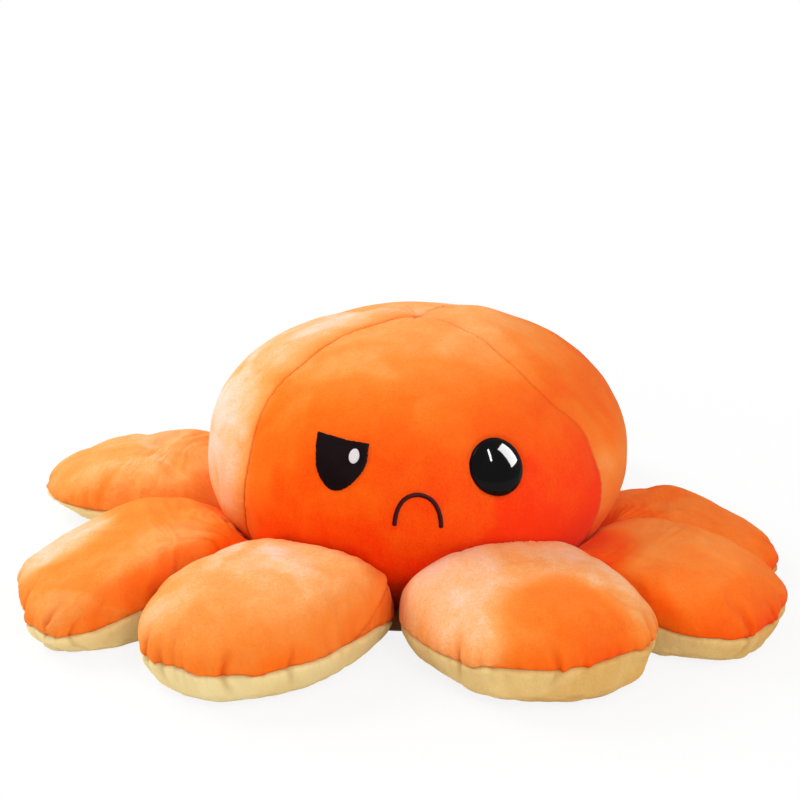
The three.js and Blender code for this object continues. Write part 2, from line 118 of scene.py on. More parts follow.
def smooth_table(x, places, values):
    """A smooth line through a short table."""
    places, values = np.array(places, float), np.array(values, float)
    slopes = np.gradient(values, places)
    x = np.clip(x, places[0], places[-1])
    i = np.clip(np.searchsorted(places, x) - 1, 0, len(places) - 2)
    step = places[i + 1] - places[i]
    t = (x - places[i]) / step
    rise = values[i + 1] - values[i]
    start, end = slopes[i] * step, slopes[i + 1] * step
    return values[i] + t * start + t * t * (3 * rise - 2 * start - end) + t**3 * (start + end - 2 * rise)


def bell(distance, width):
    """A smooth bump, 1 at no distance and nearly nothing at twice the width."""
    return np.exp(-((distance / width) ** 2))


def turn_from(middle, azimuth):
    """The shorter way round from one azimuth to another, in radians."""
    return (np.radians(azimuth - middle) + math.pi) % (2 * math.pi) - math.pi


def eased(count, plain_share):
    """Shares from 0 to 1 that lie closer together near both ends."""
    share = np.linspace(0, 1, count)
    return (1 - plain_share) * (0.5 - 0.5 * np.cos(math.pi * share)) + plain_share * share


def lumps(points, length, seed):
    """Soft uneven hills of stuffing, about as long as length, from -1 to 1."""
    pick = np.random.default_rng(seed)
    height = np.zeros(points.shape[:-1])
    for _ in range(10):
        way = pick.normal(size=3)
        way *= 2 * math.pi / (np.linalg.norm(way) * length * pick.uniform(0.7, 1.6))
        height += np.sin(points @ way + pick.uniform(0, 2 * math.pi))
    return height / 5


def gathers(along, length, seed):
    """Sewn folds along a seam, round on top and sharp between, from 0 to 1."""
    pick = np.random.default_rng(seed)
    phase = along * math.pi / length
    height = np.full(np.shape(along), 0.5)
    for _ in range(4):
        drift = pick.uniform(0.5, 1.2)
        phase = phase + drift * np.sin(along / (length * pick.uniform(0.5, 1.6)) + pick.uniform(0, 6))
        height = height + 0.2 * np.sin(along / (length * pick.uniform(0.6, 2.2)) + pick.uniform(0, 6))
    return np.abs(np.sin(phase)) * np.clip(height, 0.05, 1)


def trench(distance, depth, width):
    """The rounded lip of a panel that turns down into a seam."""
    near = np.clip(1 - distance / width, 0, 1)
    return -depth * (1 - np.sqrt(1 - near**2))


def around(azimuth, radius, height):
    """A point round the head's axis, with azimuth 0 at the middle of the face."""
    turn = np.radians(azimuth)
    place = [np.sin(turn) * radius, -np.cos(turn) * radius, height + 0 * turn]
    return head_axis + np.stack(place, axis=-1)


def head_curve(angle):
    """Radius and height of the stuffed head, by an angle from the foot to the crown."""
    upper = angle >= 0
    power = np.where(upper, 2 / head_upper_power, 1.0)
    radius = head_half_width * np.maximum(np.cos(angle), 0) ** power
    rise = np.where(upper, head_crown_rise, -head_lower_drop) * np.abs(np.sin(angle)) ** power
    return radius, head_widest_height + rise


foot_angle = -math.asin((head_widest_height - head_foot_height) / head_lower_drop)
head_angles = np.linspace(foot_angle, math.pi / 2, 4001)
head_radii, head_heights = head_curve(head_angles)
head_arc = np.concatenate([[0], np.cumsum(np.hypot(np.diff(head_radii), np.diff(head_heights)))])


def head_angle_at(height):
    """The angle of the head's curve at a height."""
    return np.interp(height, head_heights, head_angles)


def head_arc_at(height):
    """The way up along the head's curve, from its foot to a height."""
    return np.interp(height, head_heights, head_arc)


def seam_azimuth(name, height):
    """Where a seam of the head lies at a height."""
    return smooth_table(height / mm, *seam_lines[name])


def head_lean(angle):
    """How far the surface of the head faces outwards and upwards."""
    step = 1e-4
    r0, z0 = head_curve(np.clip(angle - step, foot_angle, math.pi / 2))
    r1, z1 = head_curve(np.clip(angle + step, foot_angle, math.pi / 2))
    size = np.hypot(r1 - r0, z1 - z0)
    return (z1 - z0) / size, (r0 - r1) / size


def head_seams(azimuth, radius, height, arc, normal_up):
    """Push of the seams, from a trench, the pull of the thread and puckers beside it, and the painted shade
    in the trench and between the puckers.
    """
    push, crease = 0.0, 0.0
    fade = np.clip(radius / crown_fade_radius, 0, 1) ** 0.7
    faint = 1 - 0.55 * np.clip(1.6 * normal_up, 0, 1)
    for seed, name in enumerate(seam_lines):
        away = np.abs(turn_from(seam_azimuth(name, height), azimuth)) * radius
        pucker = gathers(arc, seam_pucker_length, 30 + seed) - 0.4
        pull = np.exp(-away / seam_pucker_reach)
        push += fade * trench(away, seam_trench_depth, seam_trench_width)
        push -= fade * seam_pull_depth * bell(away, seam_pull_width)
        push += fade * seam_pucker_height * pucker * pull
        # Painted shade: a dark line in the seam's trench and between the puckers, fainter on top.
        line = 0.7 * bell(away, seam_shade_width) + 0.5 * np.clip(0.05 - pucker, 0, 1) * pull
        crease += fade * faint * line
    return push, crease


def on_head(azimuth, angle, raised=0.0, plain=False):
    """Points of the stuffed head, with its lumps, pits and folds and its seams unless plain, and the painted
    shade of its seams and crown folds.
    """
    radius, height = head_curve(angle)
    normal_out, normal_up = head_lean(angle)
    bare = around(azimuth, radius, height)
    arc = head_arc_at(height)
    fine_lumps = head_fine_lump_share * lumps(bare, head_lump_length / 3, 9)
    push = head_lump_height * (lumps(bare, head_lump_length, 4) + fine_lumps)
    for azimuth_of, height_of, depth, width, tall in head_pits:
        across = turn_from(azimuth_of, azimuth) * radius
        up = arc - head_arc_at(height_of * mm)
        push -= depth * mm * bell(across, width * mm) * bell(up, tall * mm)
    seam_push, crease = (0.0, 0.0) if plain else head_seams(azimuth, radius, height, arc, normal_up)
    over = np.clip(head_arc[-1] - arc, 0, None)
    folds = np.abs(np.sin(np.radians(azimuth) * 5 + 1.3 * np.sin(np.radians(azimuth) * 3 + 1)))
    ripple = np.exp(-over / crown_fold_reach) * np.clip(over / crown_point_reach, 0, 1)
    push += seam_push + crown_fold_height * (folds - 0.6) * ripple
    push -= crown_dimple_depth * bell(over, crown_dimple_reach)
    push += eye_seat(azimuth, arc, radius) + raised
    # Painted shade in the folds of the crown and at its gathered point.
    crease = crease + 0.4 * (1 - folds) * ripple + 0.5 * bell(over, crown_point_reach)
    points = around(azimuth, radius + normal_out * push, height + normal_up * push)
    points[..., 2] = np.maximum(points[..., 2], head_floor_gap)
    return points, np.clip(crease, 0, 1)


# The cover is drawn in under the stitched eye and round the gloss eye, in degrees and
# millimetres: azimuth, height, half width, half height, depth inside, and the lip round it
eye_seats = [(-21, 129, 19, 18, 0.9, 0.0), (20.2, 128, 19.5, 20, 2.4, 0.9)]


def eye_seat(azimuth, arc, radius):
    """How far the cover is drawn in behind the eyes, less the lip round each."""
    push = 0.0
    for azimuth_of, height_of, wide, tall, depth, lip in eye_seats:
        across = turn_from(azimuth_of, azimuth) * radius
        up = arc - head_arc_at(height_of * mm)
        share = np.hypot(across / (wide * mm), up / (tall * mm))
        push = push - depth * mm / (1 + np.exp((share - 1) * 18)) + lip * mm * bell(share - 1.16, 0.12)
    return push


def grid_faces(rows, columns, closed=False):
    """Quads of a grid of points, joined round where closed."""
    last = columns if closed else columns - 1
    i, j = np.meshgrid(np.arange(rows - 1), np.arange(last), indexing="ij")
    k = (j + 1) % columns
    low, high = i * columns, (i + 1) * columns
    return np.stack([low + j, low + k, high + k, high + j], axis=-1).reshape(-1, 4)


def make_piece(name, points, faces, material, **marks):
    """A smooth mesh object from points and faces, with a value for each point in its marks."""
    mesh = bpy.data.meshes.new(name)
    mesh.from_pydata([tuple(p) for p in points.reshape(-1, 3).tolist()], [], [tuple(f) for f in faces])
    mesh.polygons.foreach_set("use_smooth", [True] * len(mesh.polygons))
    for mark_name, values in marks.items():
        attribute = mesh.attributes.new(mark_name, "FLOAT", "POINT")
        attribute.data.foreach_set("value", np.asarray(values, np.float32).ravel())
    mesh.update()
    piece = bpy.data.objects.new(name, mesh)
    bpy.context.scene.collection.objects.link(piece)
    mesh.materials.append(material)
    return piece


def set_inputs(tree, node, **values):
    """The values or links of a node's inputs, by name or as i and a number."""
    for key, value in values.items():
        by_number = key[0] == "i" and key[1:].isdigit()
        socket = node.inputs[int(key[1:]) if by_number else key.replace("_", " ")]
        if isinstance(value, bpy.types.NodeSocket):
            tree.links.new(value, socket)
        else:
            socket.default_value = value


def add_node(tree, kind, settings=None, **values):
    """One shader node, with its settings and its inputs."""
    node = tree.nodes.new(kind)
    for key, value in (settings or {}).items():
        setattr(node, key, value)
    set_inputs(tree, node, **values)
    return node


def math_node(tree, operation, first, second=0.0):
    """The result of one sum on two values or sockets."""
    return add_node(tree, "ShaderNodeMath", {"operation": operation}, i0=first, i1=second).outputs[0]


def noise(tree, place, scale, **more):
    """Cloudy noise round a half."""
    return add_node(tree, "ShaderNodeTexNoise", Vector=place, Scale=scale, **more).outputs[0]


def remap(tree, value, low, high, to_low, to_high, kind="LINEAR"):
    """A value from low to high, moved to another range and held inside it."""
    return add_node(
        tree, "ShaderNodeMapRange", {"interpolation_type": kind}, Value=value,
        From_Min=low, From_Max=high, To_Min=to_low, To_Max=to_high,
    ).outputs[0]


def mix_colours(tree, share, first, second):
    """The first colour or socket, turning into the second as the share grows."""
    first, second = [c if isinstance(c, bpy.types.NodeSocket) else (*c, 1) for c in (first, second)]
    return add_node(tree, "ShaderNodeMix", {"data_type": "RGBA"}, i0=share, i6=first, i7=second).outputs[2]


def bumped(tree, height, strength, distance):
    """The surface normal over a fine relief."""
    return add_node(tree, "ShaderNodeBump", Strength=strength, Distance=distance, Height=height).outputs[0]


def object_place(tree):
    """Where a point lies on its own piece."""
    return add_node(tree, "ShaderNodeTexCoord").outputs["Object"]


def mark(tree, name):
    """A value that the mesh carries at each point."""
    return add_node(tree, "ShaderNodeAttribute", {"attribute_name": name}).outputs["Fac"]


def new_group(name, inputs, outputs):
    """A shader node group with named numbers in and out."""
    tree = bpy.data.node_groups.new(name, "ShaderNodeTree")
    for socket in inputs:
        tree.interface.new_socket(socket, in_out="INPUT", socket_type="NodeSocketFloat")
    for socket in outputs:
        tree.interface.new_socket(socket, in_out="OUTPUT", socket_type="NodeSocketFloat")
    return tree, tree.nodes.new("NodeGroupInput"), tree.nodes.new("NodeGroupOutput")


def new_material(name):
    """A node material, its tree and its surface."""
    material = bpy.data.materials.new(name)
    material.use_nodes = True
    return material, material.node_tree, material.node_tree.nodes["Principled BSDF"]


# Short plush pile: broad patches where the nap was stroked another way, streaks left by fingers, and fine
# tufts. They are added to the nap and the painted light and shade that the mesh carries, and the painted
# shade of the creases joins the tufts in the shade.
patch_size = 75 * mm
tuft_size = 1.7 * mm
pile, pile_in, pile_out = new_group(
    "plush pile", ["Patch Size", "Tuft Size", "Brushed", "Fold"], ["Nap", "Shade", "Height"]
)
pile_place = object_place(pile)
patch_scale = math_node(pile, "DIVIDE", 1.0, pile_in.outputs["Patch Size"])
tuft_scale = math_node(pile, "DIVIDE", 1.0, pile_in.outputs["Tuft Size"])
streak_scale = math_node(pile, "MULTIPLY", patch_scale, 4.5)
fine_scale = math_node(pile, "MULTIPLY", tuft_scale, 3.1)
broad = noise(pile, pile_place, patch_scale, Detail=2.0, Roughness=0.5, Distortion=0.8)
patches = remap(pile, broad, 0.42, 0.58, -0.5, 0.5, "SMOOTHSTEP")
streak_place = add_node(pile, "ShaderNodeMapping", Vector=pile_place, Scale=(1.0, 1.0, 0.5)).outputs[0]
streaks = noise(pile, streak_place, streak_scale, Detail=4.0, Roughness=0.62, Distortion=0.5)
tufts = noise(pile, pile_place, tuft_scale, Detail=3.0, Roughness=0.75)
fine_tufts = noise(pile, pile_place, fine_scale, Detail=2.0)
grain = math_node(
    pile, "ADD", math_node(pile, "MULTIPLY", tufts, 0.7), math_node(pile, "MULTIPLY", fine_tufts, 0.3)
)
nap_and_light = pile_in.outputs["Brushed"]
for texture, middle, weight in ((patches, 0.0, 0.1), (streaks, 0.5, 0.24), (grain, 0.5, 0.44)):
    apart = math_node(pile, "SUBTRACT", texture, middle)
    nap_and_light = math_node(pile, "ADD", nap_and_light, math_node(pile, "MULTIPLY", apart, weight))
shade = math_node(pile, "ADD", math_node(pile, "MULTIPLY", grain, 0.36), pile_in.outputs["Fold"])
relief = math_node(pile, "ADD", grain, math_node(pile, "MULTIPLY", streaks, 1.4))
set_inputs(pile, pile_out, Nap=nap_and_light, Shade=shade, Height=relief)


def plush(name, nap_and_light_colours, crease_shade_colour, sheen_tint):
    """Dyed plush: colours from nap stroked away to nap stroked up, which also run from painted shade to
    painted light, and a painted shade colour in creases and folds.
    """
    material, tree, surface = new_material(name)
    cloth = add_node(
        tree, "ShaderNodeGroup", {"node_tree": pile}, Patch_Size=patch_size, Tuft_Size=tuft_size,
        Brushed=mark(tree, "brushed"), Fold=mark(tree, "crease"),
    )
    base = add_node(tree, "ShaderNodeValToRGB", Fac=cloth.outputs["Nap"])
    stops = base.color_ramp.elements
    stops[0].color, stops[1].color = (*nap_and_light_colours[0][1], 1), (*nap_and_light_colours[-1][1], 1)
    for place, colour in nap_and_light_colours[1:-1]:
        stops.new(place).color = (*colour, 1)
    # Painted shade: darker towards the shade colour in creases and folds, and a little with the random tone
    # of the tufts.
    dark = remap(tree, cloth.outputs["Shade"], 0.2, 1.2, 0.0, 0.75)
    set_inputs(
        tree, surface, Base_Color=mix_colours(tree, dark, base.outputs[0], crease_shade_colour),
        Normal=bumped(tree, cloth.outputs["Height"], 0.6, 1.2 * mm), Roughness=0.95,
        Specular_IOR_Level=0.03, Sheen_Weight=0.1, Sheen_Roughness=0.3, Sheen_Tint=(*sheen_tint, 1),
    )
    return material


# Orange plush from the lowest to the highest mark: deep red-orange where it is in painted shade, the dyed
# orange in the middle, and pale peach where it is in painted light.
orange_nap_and_light_ramp = [
    (0.0, (0.975, 0.042, 0.0015)),
    (0.2, (0.975, 0.105, 0.003)),
    (0.4, (0.97, 0.17, 0.010)),
    (0.6, (0.96, 0.255, 0.036)),
    (0.78, (0.955, 0.37, 0.105)),
    (0.9, (0.95, 0.51, 0.27)),
    (1.0, (0.93, 0.63, 0.52)),
]
orange_plush = plush("orange plush", orange_nap_and_light_ramp, (0.62, 0.022, 0.0015), (1.0, 0.6, 0.3))

# Painted light and shade: the plush is paler where it faces up, most of all at the crown, and where it faces
# left towards the key lamp, and redder low down. Each slice is paler by its own share where light falls
# across it from the side: how much paler each is, its level at the widest height, and how fast that fades
# upwards.
head_nap = 0.1
upward_light = 0.12
crown_light = 0.55
leftward_light = 0.16
# Painted light on the face slice beside the left seam, and painted shade on the left slice beside it.
face_edge_light = 0.24
face_edge_width = 13 * mm
left_edge_shade = 0.3
left_edge_width = 11 * mm
slice_light = {
    "face": (0.0, 1.25, 1.0),
    "right": (0.66, 1.25, 1.6),
    "back": (0.3, 1.25, 1.0),
    "left": (0.64, 1.75, 1.5),
}

# The seams on both sides of each slice, and full turns to add to their azimuths
slice_sides = {
    "face": ("left", "right", 0, 0),
    "right": ("right", "back right", 0, 0),
    "back": ("back right", "back left", 0, 0),
    "left": ("back left", "left", 0, 360),
}
row_arcs = head_arc[-1] * (1 - np.linspace(1, 0, head_rows) ** 1.05)
row_angles = np.interp(row_arcs, head_arc, head_angles)
row_angles[-1] = math.pi / 2 - 1e-5
for name, (side_a, side_b, turn_a, turn_b) in slice_sides.items():
    share = eased(head_columns[name], 0.15)
    heights = head_curve(row_angles)[1]
    first = seam_azimuth(side_a, heights)[:, None] + turn_a
    last = seam_azimuth(side_b, heights)[:, None] + turn_b
    azimuths = first + (last - first) * share[None, :]
    angles = np.repeat(row_angles[:, None], len(share), axis=1)
    points, crease = on_head(azimuths, angles)
    lean_out, lean_up = head_lean(angles)
    # Painted light and shade from the way each point faces, and each slice's own share of painted light.
    brushed = head_nap + upward_light * lean_up + crown_light * np.clip(lean_up, 0, 1) ** 4
    brushed -= leftward_light * np.sin(np.radians(azimuths)) * lean_out
    extra_light, start, fading = slice_light[name]
    brushed += extra_light * np.clip(start - fading * lean_up, 0, 1) * np.clip(1.35 + 1.6 * lean_up, 0, 1)
    radii = head_curve(angles)[0]
    if name == "face":
        from_seam = np.radians(azimuths - first) * radii
        brushed += face_edge_light * np.exp(-from_seam / face_edge_width) * (1 - np.clip(lean_up, 0, 1))
    if name == "left":
        from_seam = np.radians(last - azimuths) * radii
        brushed -= left_edge_shade * np.exp(-from_seam / left_edge_width)
    cover = make_piece(
        f"head_{name}_cover", points, grid_faces(*azimuths.shape), orange_plush,
        crease=crease, brushed=brushed,
    )
    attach(cover, "head")
    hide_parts(f"head_{name}_panel")

# Head stuffing. Loose polyester fibre blown into the cover round the pocket. It is never seen,
# and it fills the head to just inside the cover.
stuffing_inset = 7 * mm
stuffing_floor_gap = 4 * mm
# The dome of the pocket, which the stuffing leaves free
pocket_radius = 72 * mm
pocket_height = 116 * mm
pocket_power = 2.4


def fibre_fill(name):
    """Off-white loose fibre with fine matted strands."""
    material, tree, surface = new_material(name)
    matted = noise(tree, object_place(tree), 260.0, Detail=5.0, Distortion=2.5)
    tone = mix_colours(tree, matted, (0.66, 0.65, 0.61), (0.9, 0.89, 0.86))
    set_inputs(tree, surface, Base_Color=tone, Normal=bumped(tree, matted, 0.8, 2 * mm), Roughness=1.0)
    return material


stuffing_fibre = fibre_fill("stuffing fibre")


def pocket_curve(angle):
    """Radius and height of the pocket, by an angle from its mouth to its top."""
    power = 2 / pocket_power
    radius = pocket_radius * np.maximum(np.cos(angle), 0) ** power
    return radius, head_foot_height + pocket_height * np.maximum(np.sin(angle), 0) ** power


def ring_body(rings, top, bottom):
    """Points and faces of a closed body from rings that run between two end points."""
    rows, columns = rings.shape[:2]
    points = np.concatenate([rings.reshape(-1, 3), [top, bottom]])
    faces = [tuple(f) for f in grid_faces(rows, columns, closed=True)]
    last = (rows - 1) * columns
    for j in range(columns):
        k = (j + 1) % columns
        faces.append((rows * columns, k, j))
        faces.append((rows * columns + 1, last + j, last + k))
    return points, faces


turns = np.linspace(0, 360, 96, endpoint=False)
fill_rings = []
for arc in np.linspace(0.97, 0.02, 40):
    angle = np.interp(arc * head_arc[-1], head_arc, head_angles)
    fill_rings.append(on_head(turns, np.full(turns.shape, angle), -stuffing_inset, plain=True)[0])
for share in np.linspace(0.02, 0.97, 26):
    radius, height = pocket_curve(np.full(turns.shape, share * math.pi / 2))
    fill_rings.append(around(turns, radius + stuffing_inset, height + stuffing_inset * share))
fill_rings = np.array(fill_rings)
fill_rings[..., 2] = np.maximum(fill_rings[..., 2], stuffing_floor_gap)
fill_points, fill_faces = ring_body(fill_rings, fill_rings[0].mean(axis=0), fill_rings[-1].mean(axis=0))
head_stuffing = make_piece("head_stuffing", fill_points, fill_faces, stuffing_fibre)
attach(head_stuffing, "head")
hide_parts("head_filling")

# Stitched eye. Black rayon thread in close satin stitches through the face slice, with a
# slanted straight brow and a small white oval of the same stitch on it.
eye_azimuth, eye_height = eye_seats[0][:2]
eye_outline = [
    (-29.1, 145.8), (-13.5, 142.6), (-13.4, 136.5), (-13.6, 131.5), (-14.2, 126.9),
    (-15.5, 122.1), (-16.7, 118.3), (-18.7, 114.3), (-20.7, 112.3), (-22.9, 113.3),
    (-24.6, 116.7), (-26.0, 120.9), (-27.0, 125.8), (-27.6, 131.1), (-28.4, 139.1),
]
spot_centre = (-17.0, 134.9)
spot_half_width = 3.7 * mm
spot_half_height = 5.1 * mm
patch_thickness = 1.3 * mm
patch_edge = 1.1 * mm
spot_thickness = 0.7 * mm
spot_edge = 0.8 * mm
patch_gap = 0.1 * mm
patch_edge_rings = 5
patch_raggedness = 0.28 * mm
stitch_width = 0.55 * mm
stitch_slant = math.radians(80)


def face_place(azimuth, height):
    """Metres across and up the head from the middle of the stitched eye."""
    radius = head_curve(head_angle_at(eye_height * mm))[0]
    up = head_arc_at(height * mm) - head_arc_at(eye_height * mm)
    return math.radians(azimuth - eye_azimuth) * radius, up


def on_face(across, up, raised):
    """Points of the head by the same metres, raised off the cover."""
    arc = head_arc_at(eye_height * mm) + up
    angle = np.interp(arc, head_arc, head_angles)
    radius = head_curve(head_angle_at(eye_height * mm))[0]
    return on_head(eye_azimuth + np.degrees(across / radius), angle, raised, plain=True)[0]


def sewn_patch(outline, base, thickness, edge, rings=14):
    """Rings of a low pad of stitches with a rounded edge, inside an outline of flat points."""
    middle = outline.mean(axis=0)
    reach = np.linalg.norm(outline - middle, axis=1)
    rows = []
    for ring in range(rings + 1):
        turn = min(ring / patch_edge_rings, 1) * math.pi / 2
        if ring <= patch_edge_rings:
            share = 1 - edge * (1 - math.cos(turn)) / reach
        else:
            share = (1 - edge / reach) * (1 - (ring - patch_edge_rings) / (rings - patch_edge_rings + 0.6))
        flat = middle + (outline - middle) * share[:, None]
        rows.append(on_face(flat[:, 0], flat[:, 1], np.full(len(flat), base + thickness * math.sin(turn))))
    top = on_face(middle[0:1], middle[1:2], np.array([base + thickness]))[0]
    points = np.concatenate([np.array(rows).reshape(-1, 3), [top]])
    count = len(outline)
    faces = [tuple(f) for f in grid_faces(rings + 1, count, closed=True)]
    start = rings * count
    faces += [(start + j, start + (j + 1) % count, start + count) for j in range(count)]
    return points, faces


def thread(name, colour, worn, roughness):
    """Embroidery thread laid side by side; the stitch mark counts the stitches across it."""
    material, tree, surface = new_material(name)
    place = object_place(tree)
    uneven = noise(tree, place, 420.0, Detail=3.0)
    wander = math_node(tree, "ADD", math_node(tree, "MULTIPLY", uneven, 1.4), mark(tree, "stitch"))
    wave = math_node(tree, "SINE", math_node(tree, "MULTIPLY", wander, math.pi))
    lint = noise(tree, place, 900.0, Detail=4.0, Roughness=0.8)
    wear = math_node(tree, "ADD", remap(tree, lint, 0.62, 0.8, 0.0, 0.4), mark(tree, "thinned"))
    set_inputs(
        tree, surface, Base_Color=mix_colours(tree, wear, colour, worn), Roughness=roughness,
        Normal=bumped(tree, math_node(tree, "ABSOLUTE", wave), 0.7, 0.4 * mm), Specular_IOR_Level=0.05,
    )
    return material


black_thread = thread("black thread", (0.007, 0.001, 0.0015), (0.12, 0.004, 0.003), 0.75)
white_thread = thread("white thread", (0.84, 0.78, 0.81), (0.62, 0.52, 0.55), 0.6)


def even_steps(line, count, closed=True):
    """The same line with points at even steps along it."""
    line = np.vstack([line, line[:1]]) if closed else np.array(line)
    reach = np.concatenate([[0], np.cumsum(np.linalg.norm(np.diff(line, axis=0), axis=1))])
    places = np.linspace(0, reach[-1], count, endpoint=not closed)
    return np.stack([np.interp(places, reach, line[:, i]) for i in range(line.shape[1])], axis=1)


corners = np.array([face_place(*point) for point in eye_outline])
curve = corners[1:]
curve_steps = np.linspace(0, len(curve), 90)
ends = np.vstack([curve, corners[:1]])
curved = np.stack([smooth_table(curve_steps, np.arange(len(ends)), ends[:, i]) for i in range(2)], axis=1)
eye_line = even_steps(curved, 150)
outward = eye_line - eye_line.mean(axis=0)
outward /= np.linalg.norm(outward, axis=1)[:, None]
ragged = np.random.default_rng(5).uniform(-patch_raggedness, patch_raggedness, len(eye_line))
eye_line = eye_line + outward * ragged[:, None]
eye_points, eye_faces = sewn_patch(eye_line, patch_gap, patch_thickness, patch_edge)
stitch_way = np.array([math.cos(stitch_slant), 0.0, math.sin(stitch_slant)])
left_eye = make_piece(
    "left_eye_stitched", eye_points, eye_faces, black_thread, stitch=eye_points @ stitch_way / stitch_width
)
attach(left_eye, "head")
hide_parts("left_eye_patch")

spot_turns = np.linspace(0, 2 * math.pi, 48, endpoint=False)
spot_line = np.array(face_place(*spot_centre)) + np.stack(
    [np.cos(spot_turns) * spot_half_width, np.sin(spot_turns) * spot_half_height], axis=1
)
spot_base = patch_thickness + patch_gap
spot_points, spot_faces = sewn_patch(spot_line, spot_base, spot_thickness, spot_edge, rings=9)
left_spot = make_piece(
    "left_eye_white_spot", spot_points, spot_faces, white_thread,
    stitch=spot_points @ stitch_way / stitch_width,
)
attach(left_spot, "head")
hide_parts("left_eye_highlight")

# Gloss eye. One black plastic moulding, a low polished dome with a rolled edge and a stem,
# pushed through the face slice and held inside by a white washer that snaps on the stem.
gloss_azimuth, gloss_height = eye_seats[1][:2]
gloss_half_width = 18.8 * mm
gloss_half_height = 19.6 * mm
gloss_tilt = math.radians(20)
gloss_egg_share = 0.05
gloss_dome = 7.0 * mm
gloss_edge = 1.6 * mm
gloss_sides = 96
# Stem with the groove that the washer snaps into, and section of the washer: millimetres from
# the eye's axis and along it
stem_profile = [
    (2.2, -17.5), (3, -16), (3, -12.6), (2.6, -12.3), (2.6, -11.7), (3, -11.4), (3, -2.0), (4.5, -0.9),
]
washer_profile = [
    (3.3, -1), (10.4, -1), (11, -0.6), (11, 0.5), (10.5, 1), (9.4, 1),
    (9.0, 0.5), (5.6, 0.5), (5.2, 1), (3.8, 1), (3.3, 0.7), (3.3, -1),
]


def moulded(name, colour, roughness, grain_size, shine):
    """Moulded plastic with faint flow marks in its polish."""
    material, tree, surface = new_material(name)
    flow = noise(tree, object_place(tree), 1 / grain_size, Detail=3.0)
    set_inputs(
        tree, surface, Base_Color=mix_colours(tree, flow, colour, [c * 1.25 for c in colour]),
        Roughness=remap(tree, flow, 0.0, 1.0, roughness * 0.7, roughness * 1.5),
        Normal=bumped(tree, flow, 0.04, 1 * mm), Specular_IOR_Level=shine,
    )
    return material


gloss_black = moulded("gloss black plastic", (0.0015, 0.001, 0.0012), 0.05, 12 * mm, 0.12)
washer_white = moulded("washer plastic", (0.78, 0.78, 0.75), 0.4, 4 * mm, 0.5)

seat_angle = float(head_angle_at(gloss_height * mm))
eye_middle = on_head(np.array([gloss_azimuth]), np.array([seat_angle]), plain=True)[0][0]
seat_low = around(gloss_azimuth, *head_curve(np.array(seat_angle - 0.02)))
seat_high = around(gloss_azimuth, *head_curve(np.array(seat_angle + 0.02)))
eye_up = (seat_high - seat_low) / np.linalg.norm(seat_high - seat_low)
gloss_turn = math.radians(gloss_azimuth)
eye_across = np.array([math.cos(gloss_turn), math.sin(gloss_turn), 0.0])
eye_out = np.cross(eye_across, eye_up)


def turned_rings(middle, profile):
    """Rings round the eye's own axis, from a profile in millimetres."""
    turns = np.linspace(0, 2 * math.pi, gloss_sides, endpoint=False)
    outwards = np.cos(turns)[:, None] * eye_across + np.sin(turns)[:, None] * eye_up
    return [middle + radius * mm * outwards + depth * mm * eye_out for radius, depth in profile]


def eye_ring(share, raised):
    """One ring of the egg-shaped dome, bent to the curve of the head at its edge."""
    turn = np.linspace(0, 2 * math.pi, gloss_sides, endpoint=False)
    wide = np.cos(turn - gloss_tilt) * gloss_half_width
    tall = np.sin(turn - gloss_tilt) * gloss_half_height * (1 + gloss_egg_share * np.cos(turn))
    across = (wide * math.cos(gloss_tilt) - tall * math.sin(gloss_tilt)) * share
    up = (wide * math.sin(gloss_tilt) + tall * math.cos(gloss_tilt)) * share
    sag = (across**2 + up**2) / (2 * head_half_width)
    flat = across[:, None] * eye_across + up[:, None] * eye_up
    return eye_middle + flat + (raised - sag * 0.9)[:, None] * eye_out


dome_rings = [eye_ring(0.9, -0.8 * mm), eye_ring(0.975, -0.4 * mm)]
for turn in np.linspace(-0.5, 1.0, 7) * math.pi / 2:
    dome_rings.append(eye_ring(0.975 + 0.025 * math.cos(turn), gloss_edge * (0.5 + 0.5 * math.sin(turn))))
for share in np.linspace(0.965, 0.03, 30):
    dome_rings.append(eye_ring(share, gloss_edge + (gloss_dome - gloss_edge) * math.sqrt(1 - share**2)))
dome = np.array(turned_rings(eye_middle, stem_profile) + dome_rings)[::-1]
dome_points, dome_faces = ring_body(dome, dome[0].mean(axis=0), dome[-1].mean(axis=0))
right_eye = make_piece("right_eye_gloss", dome_points, dome_faces, gloss_black)
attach(right_eye, "head")
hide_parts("right_eye")

washer_low, washer_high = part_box("right_eye_washer")
washer_middle = np.array((washer_low + washer_high) / 2)
washer_rings = np.array(turned_rings(washer_middle, washer_profile))
right_washer = make_piece(
    "right_eye_snap_washer", washer_rings, grid_faces(*washer_rings.shape[:2], closed=True), washer_white
)
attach(right_washer, "head")
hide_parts("right_eye_washer")

# Mouth. One arched line of narrow satin stitches in the same black thread as the eye, sewn
# through the face slice across the line, with the loose ends pulled to the inside.
mouth_line = [
    (-5.9, 92.1), (-5.75, 96.5), (-5.5, 100.5), (-5.0, 104.6), (-4.3, 108.0), (-3.6, 110.3),
    (-2.7, 112.0), (-1.6, 113.1), (-0.4, 113.6), (0.8, 113.1), (1.9, 112.0), (2.9, 110.3),
    (3.7, 108.0), (4.4, 104.6), (4.9, 100.6), (5.2, 96.0), (5.3, 90.8),
]
mouth_half_width = 1.45 * mm
mouth_rise = 1.3 * mm
mouth_end_length = 1.2 * mm
mouth_raggedness = 0.05
mouth_thinning = 0.45
mouth_sides = 20
path = even_steps(np.array([face_place(*point) for point in mouth_line]), 150, closed=False)
for _ in range(12):
    path[1:-1] = (path[:-2] + 2 * path[1:-1] + path[2:]) / 4
ahead = np.gradient(path, axis=0)
ahead /= np.linalg.norm(ahead, axis=1)[:, None]
beside = np.stack([ahead[:, 1], -ahead[:, 0]], axis=1)
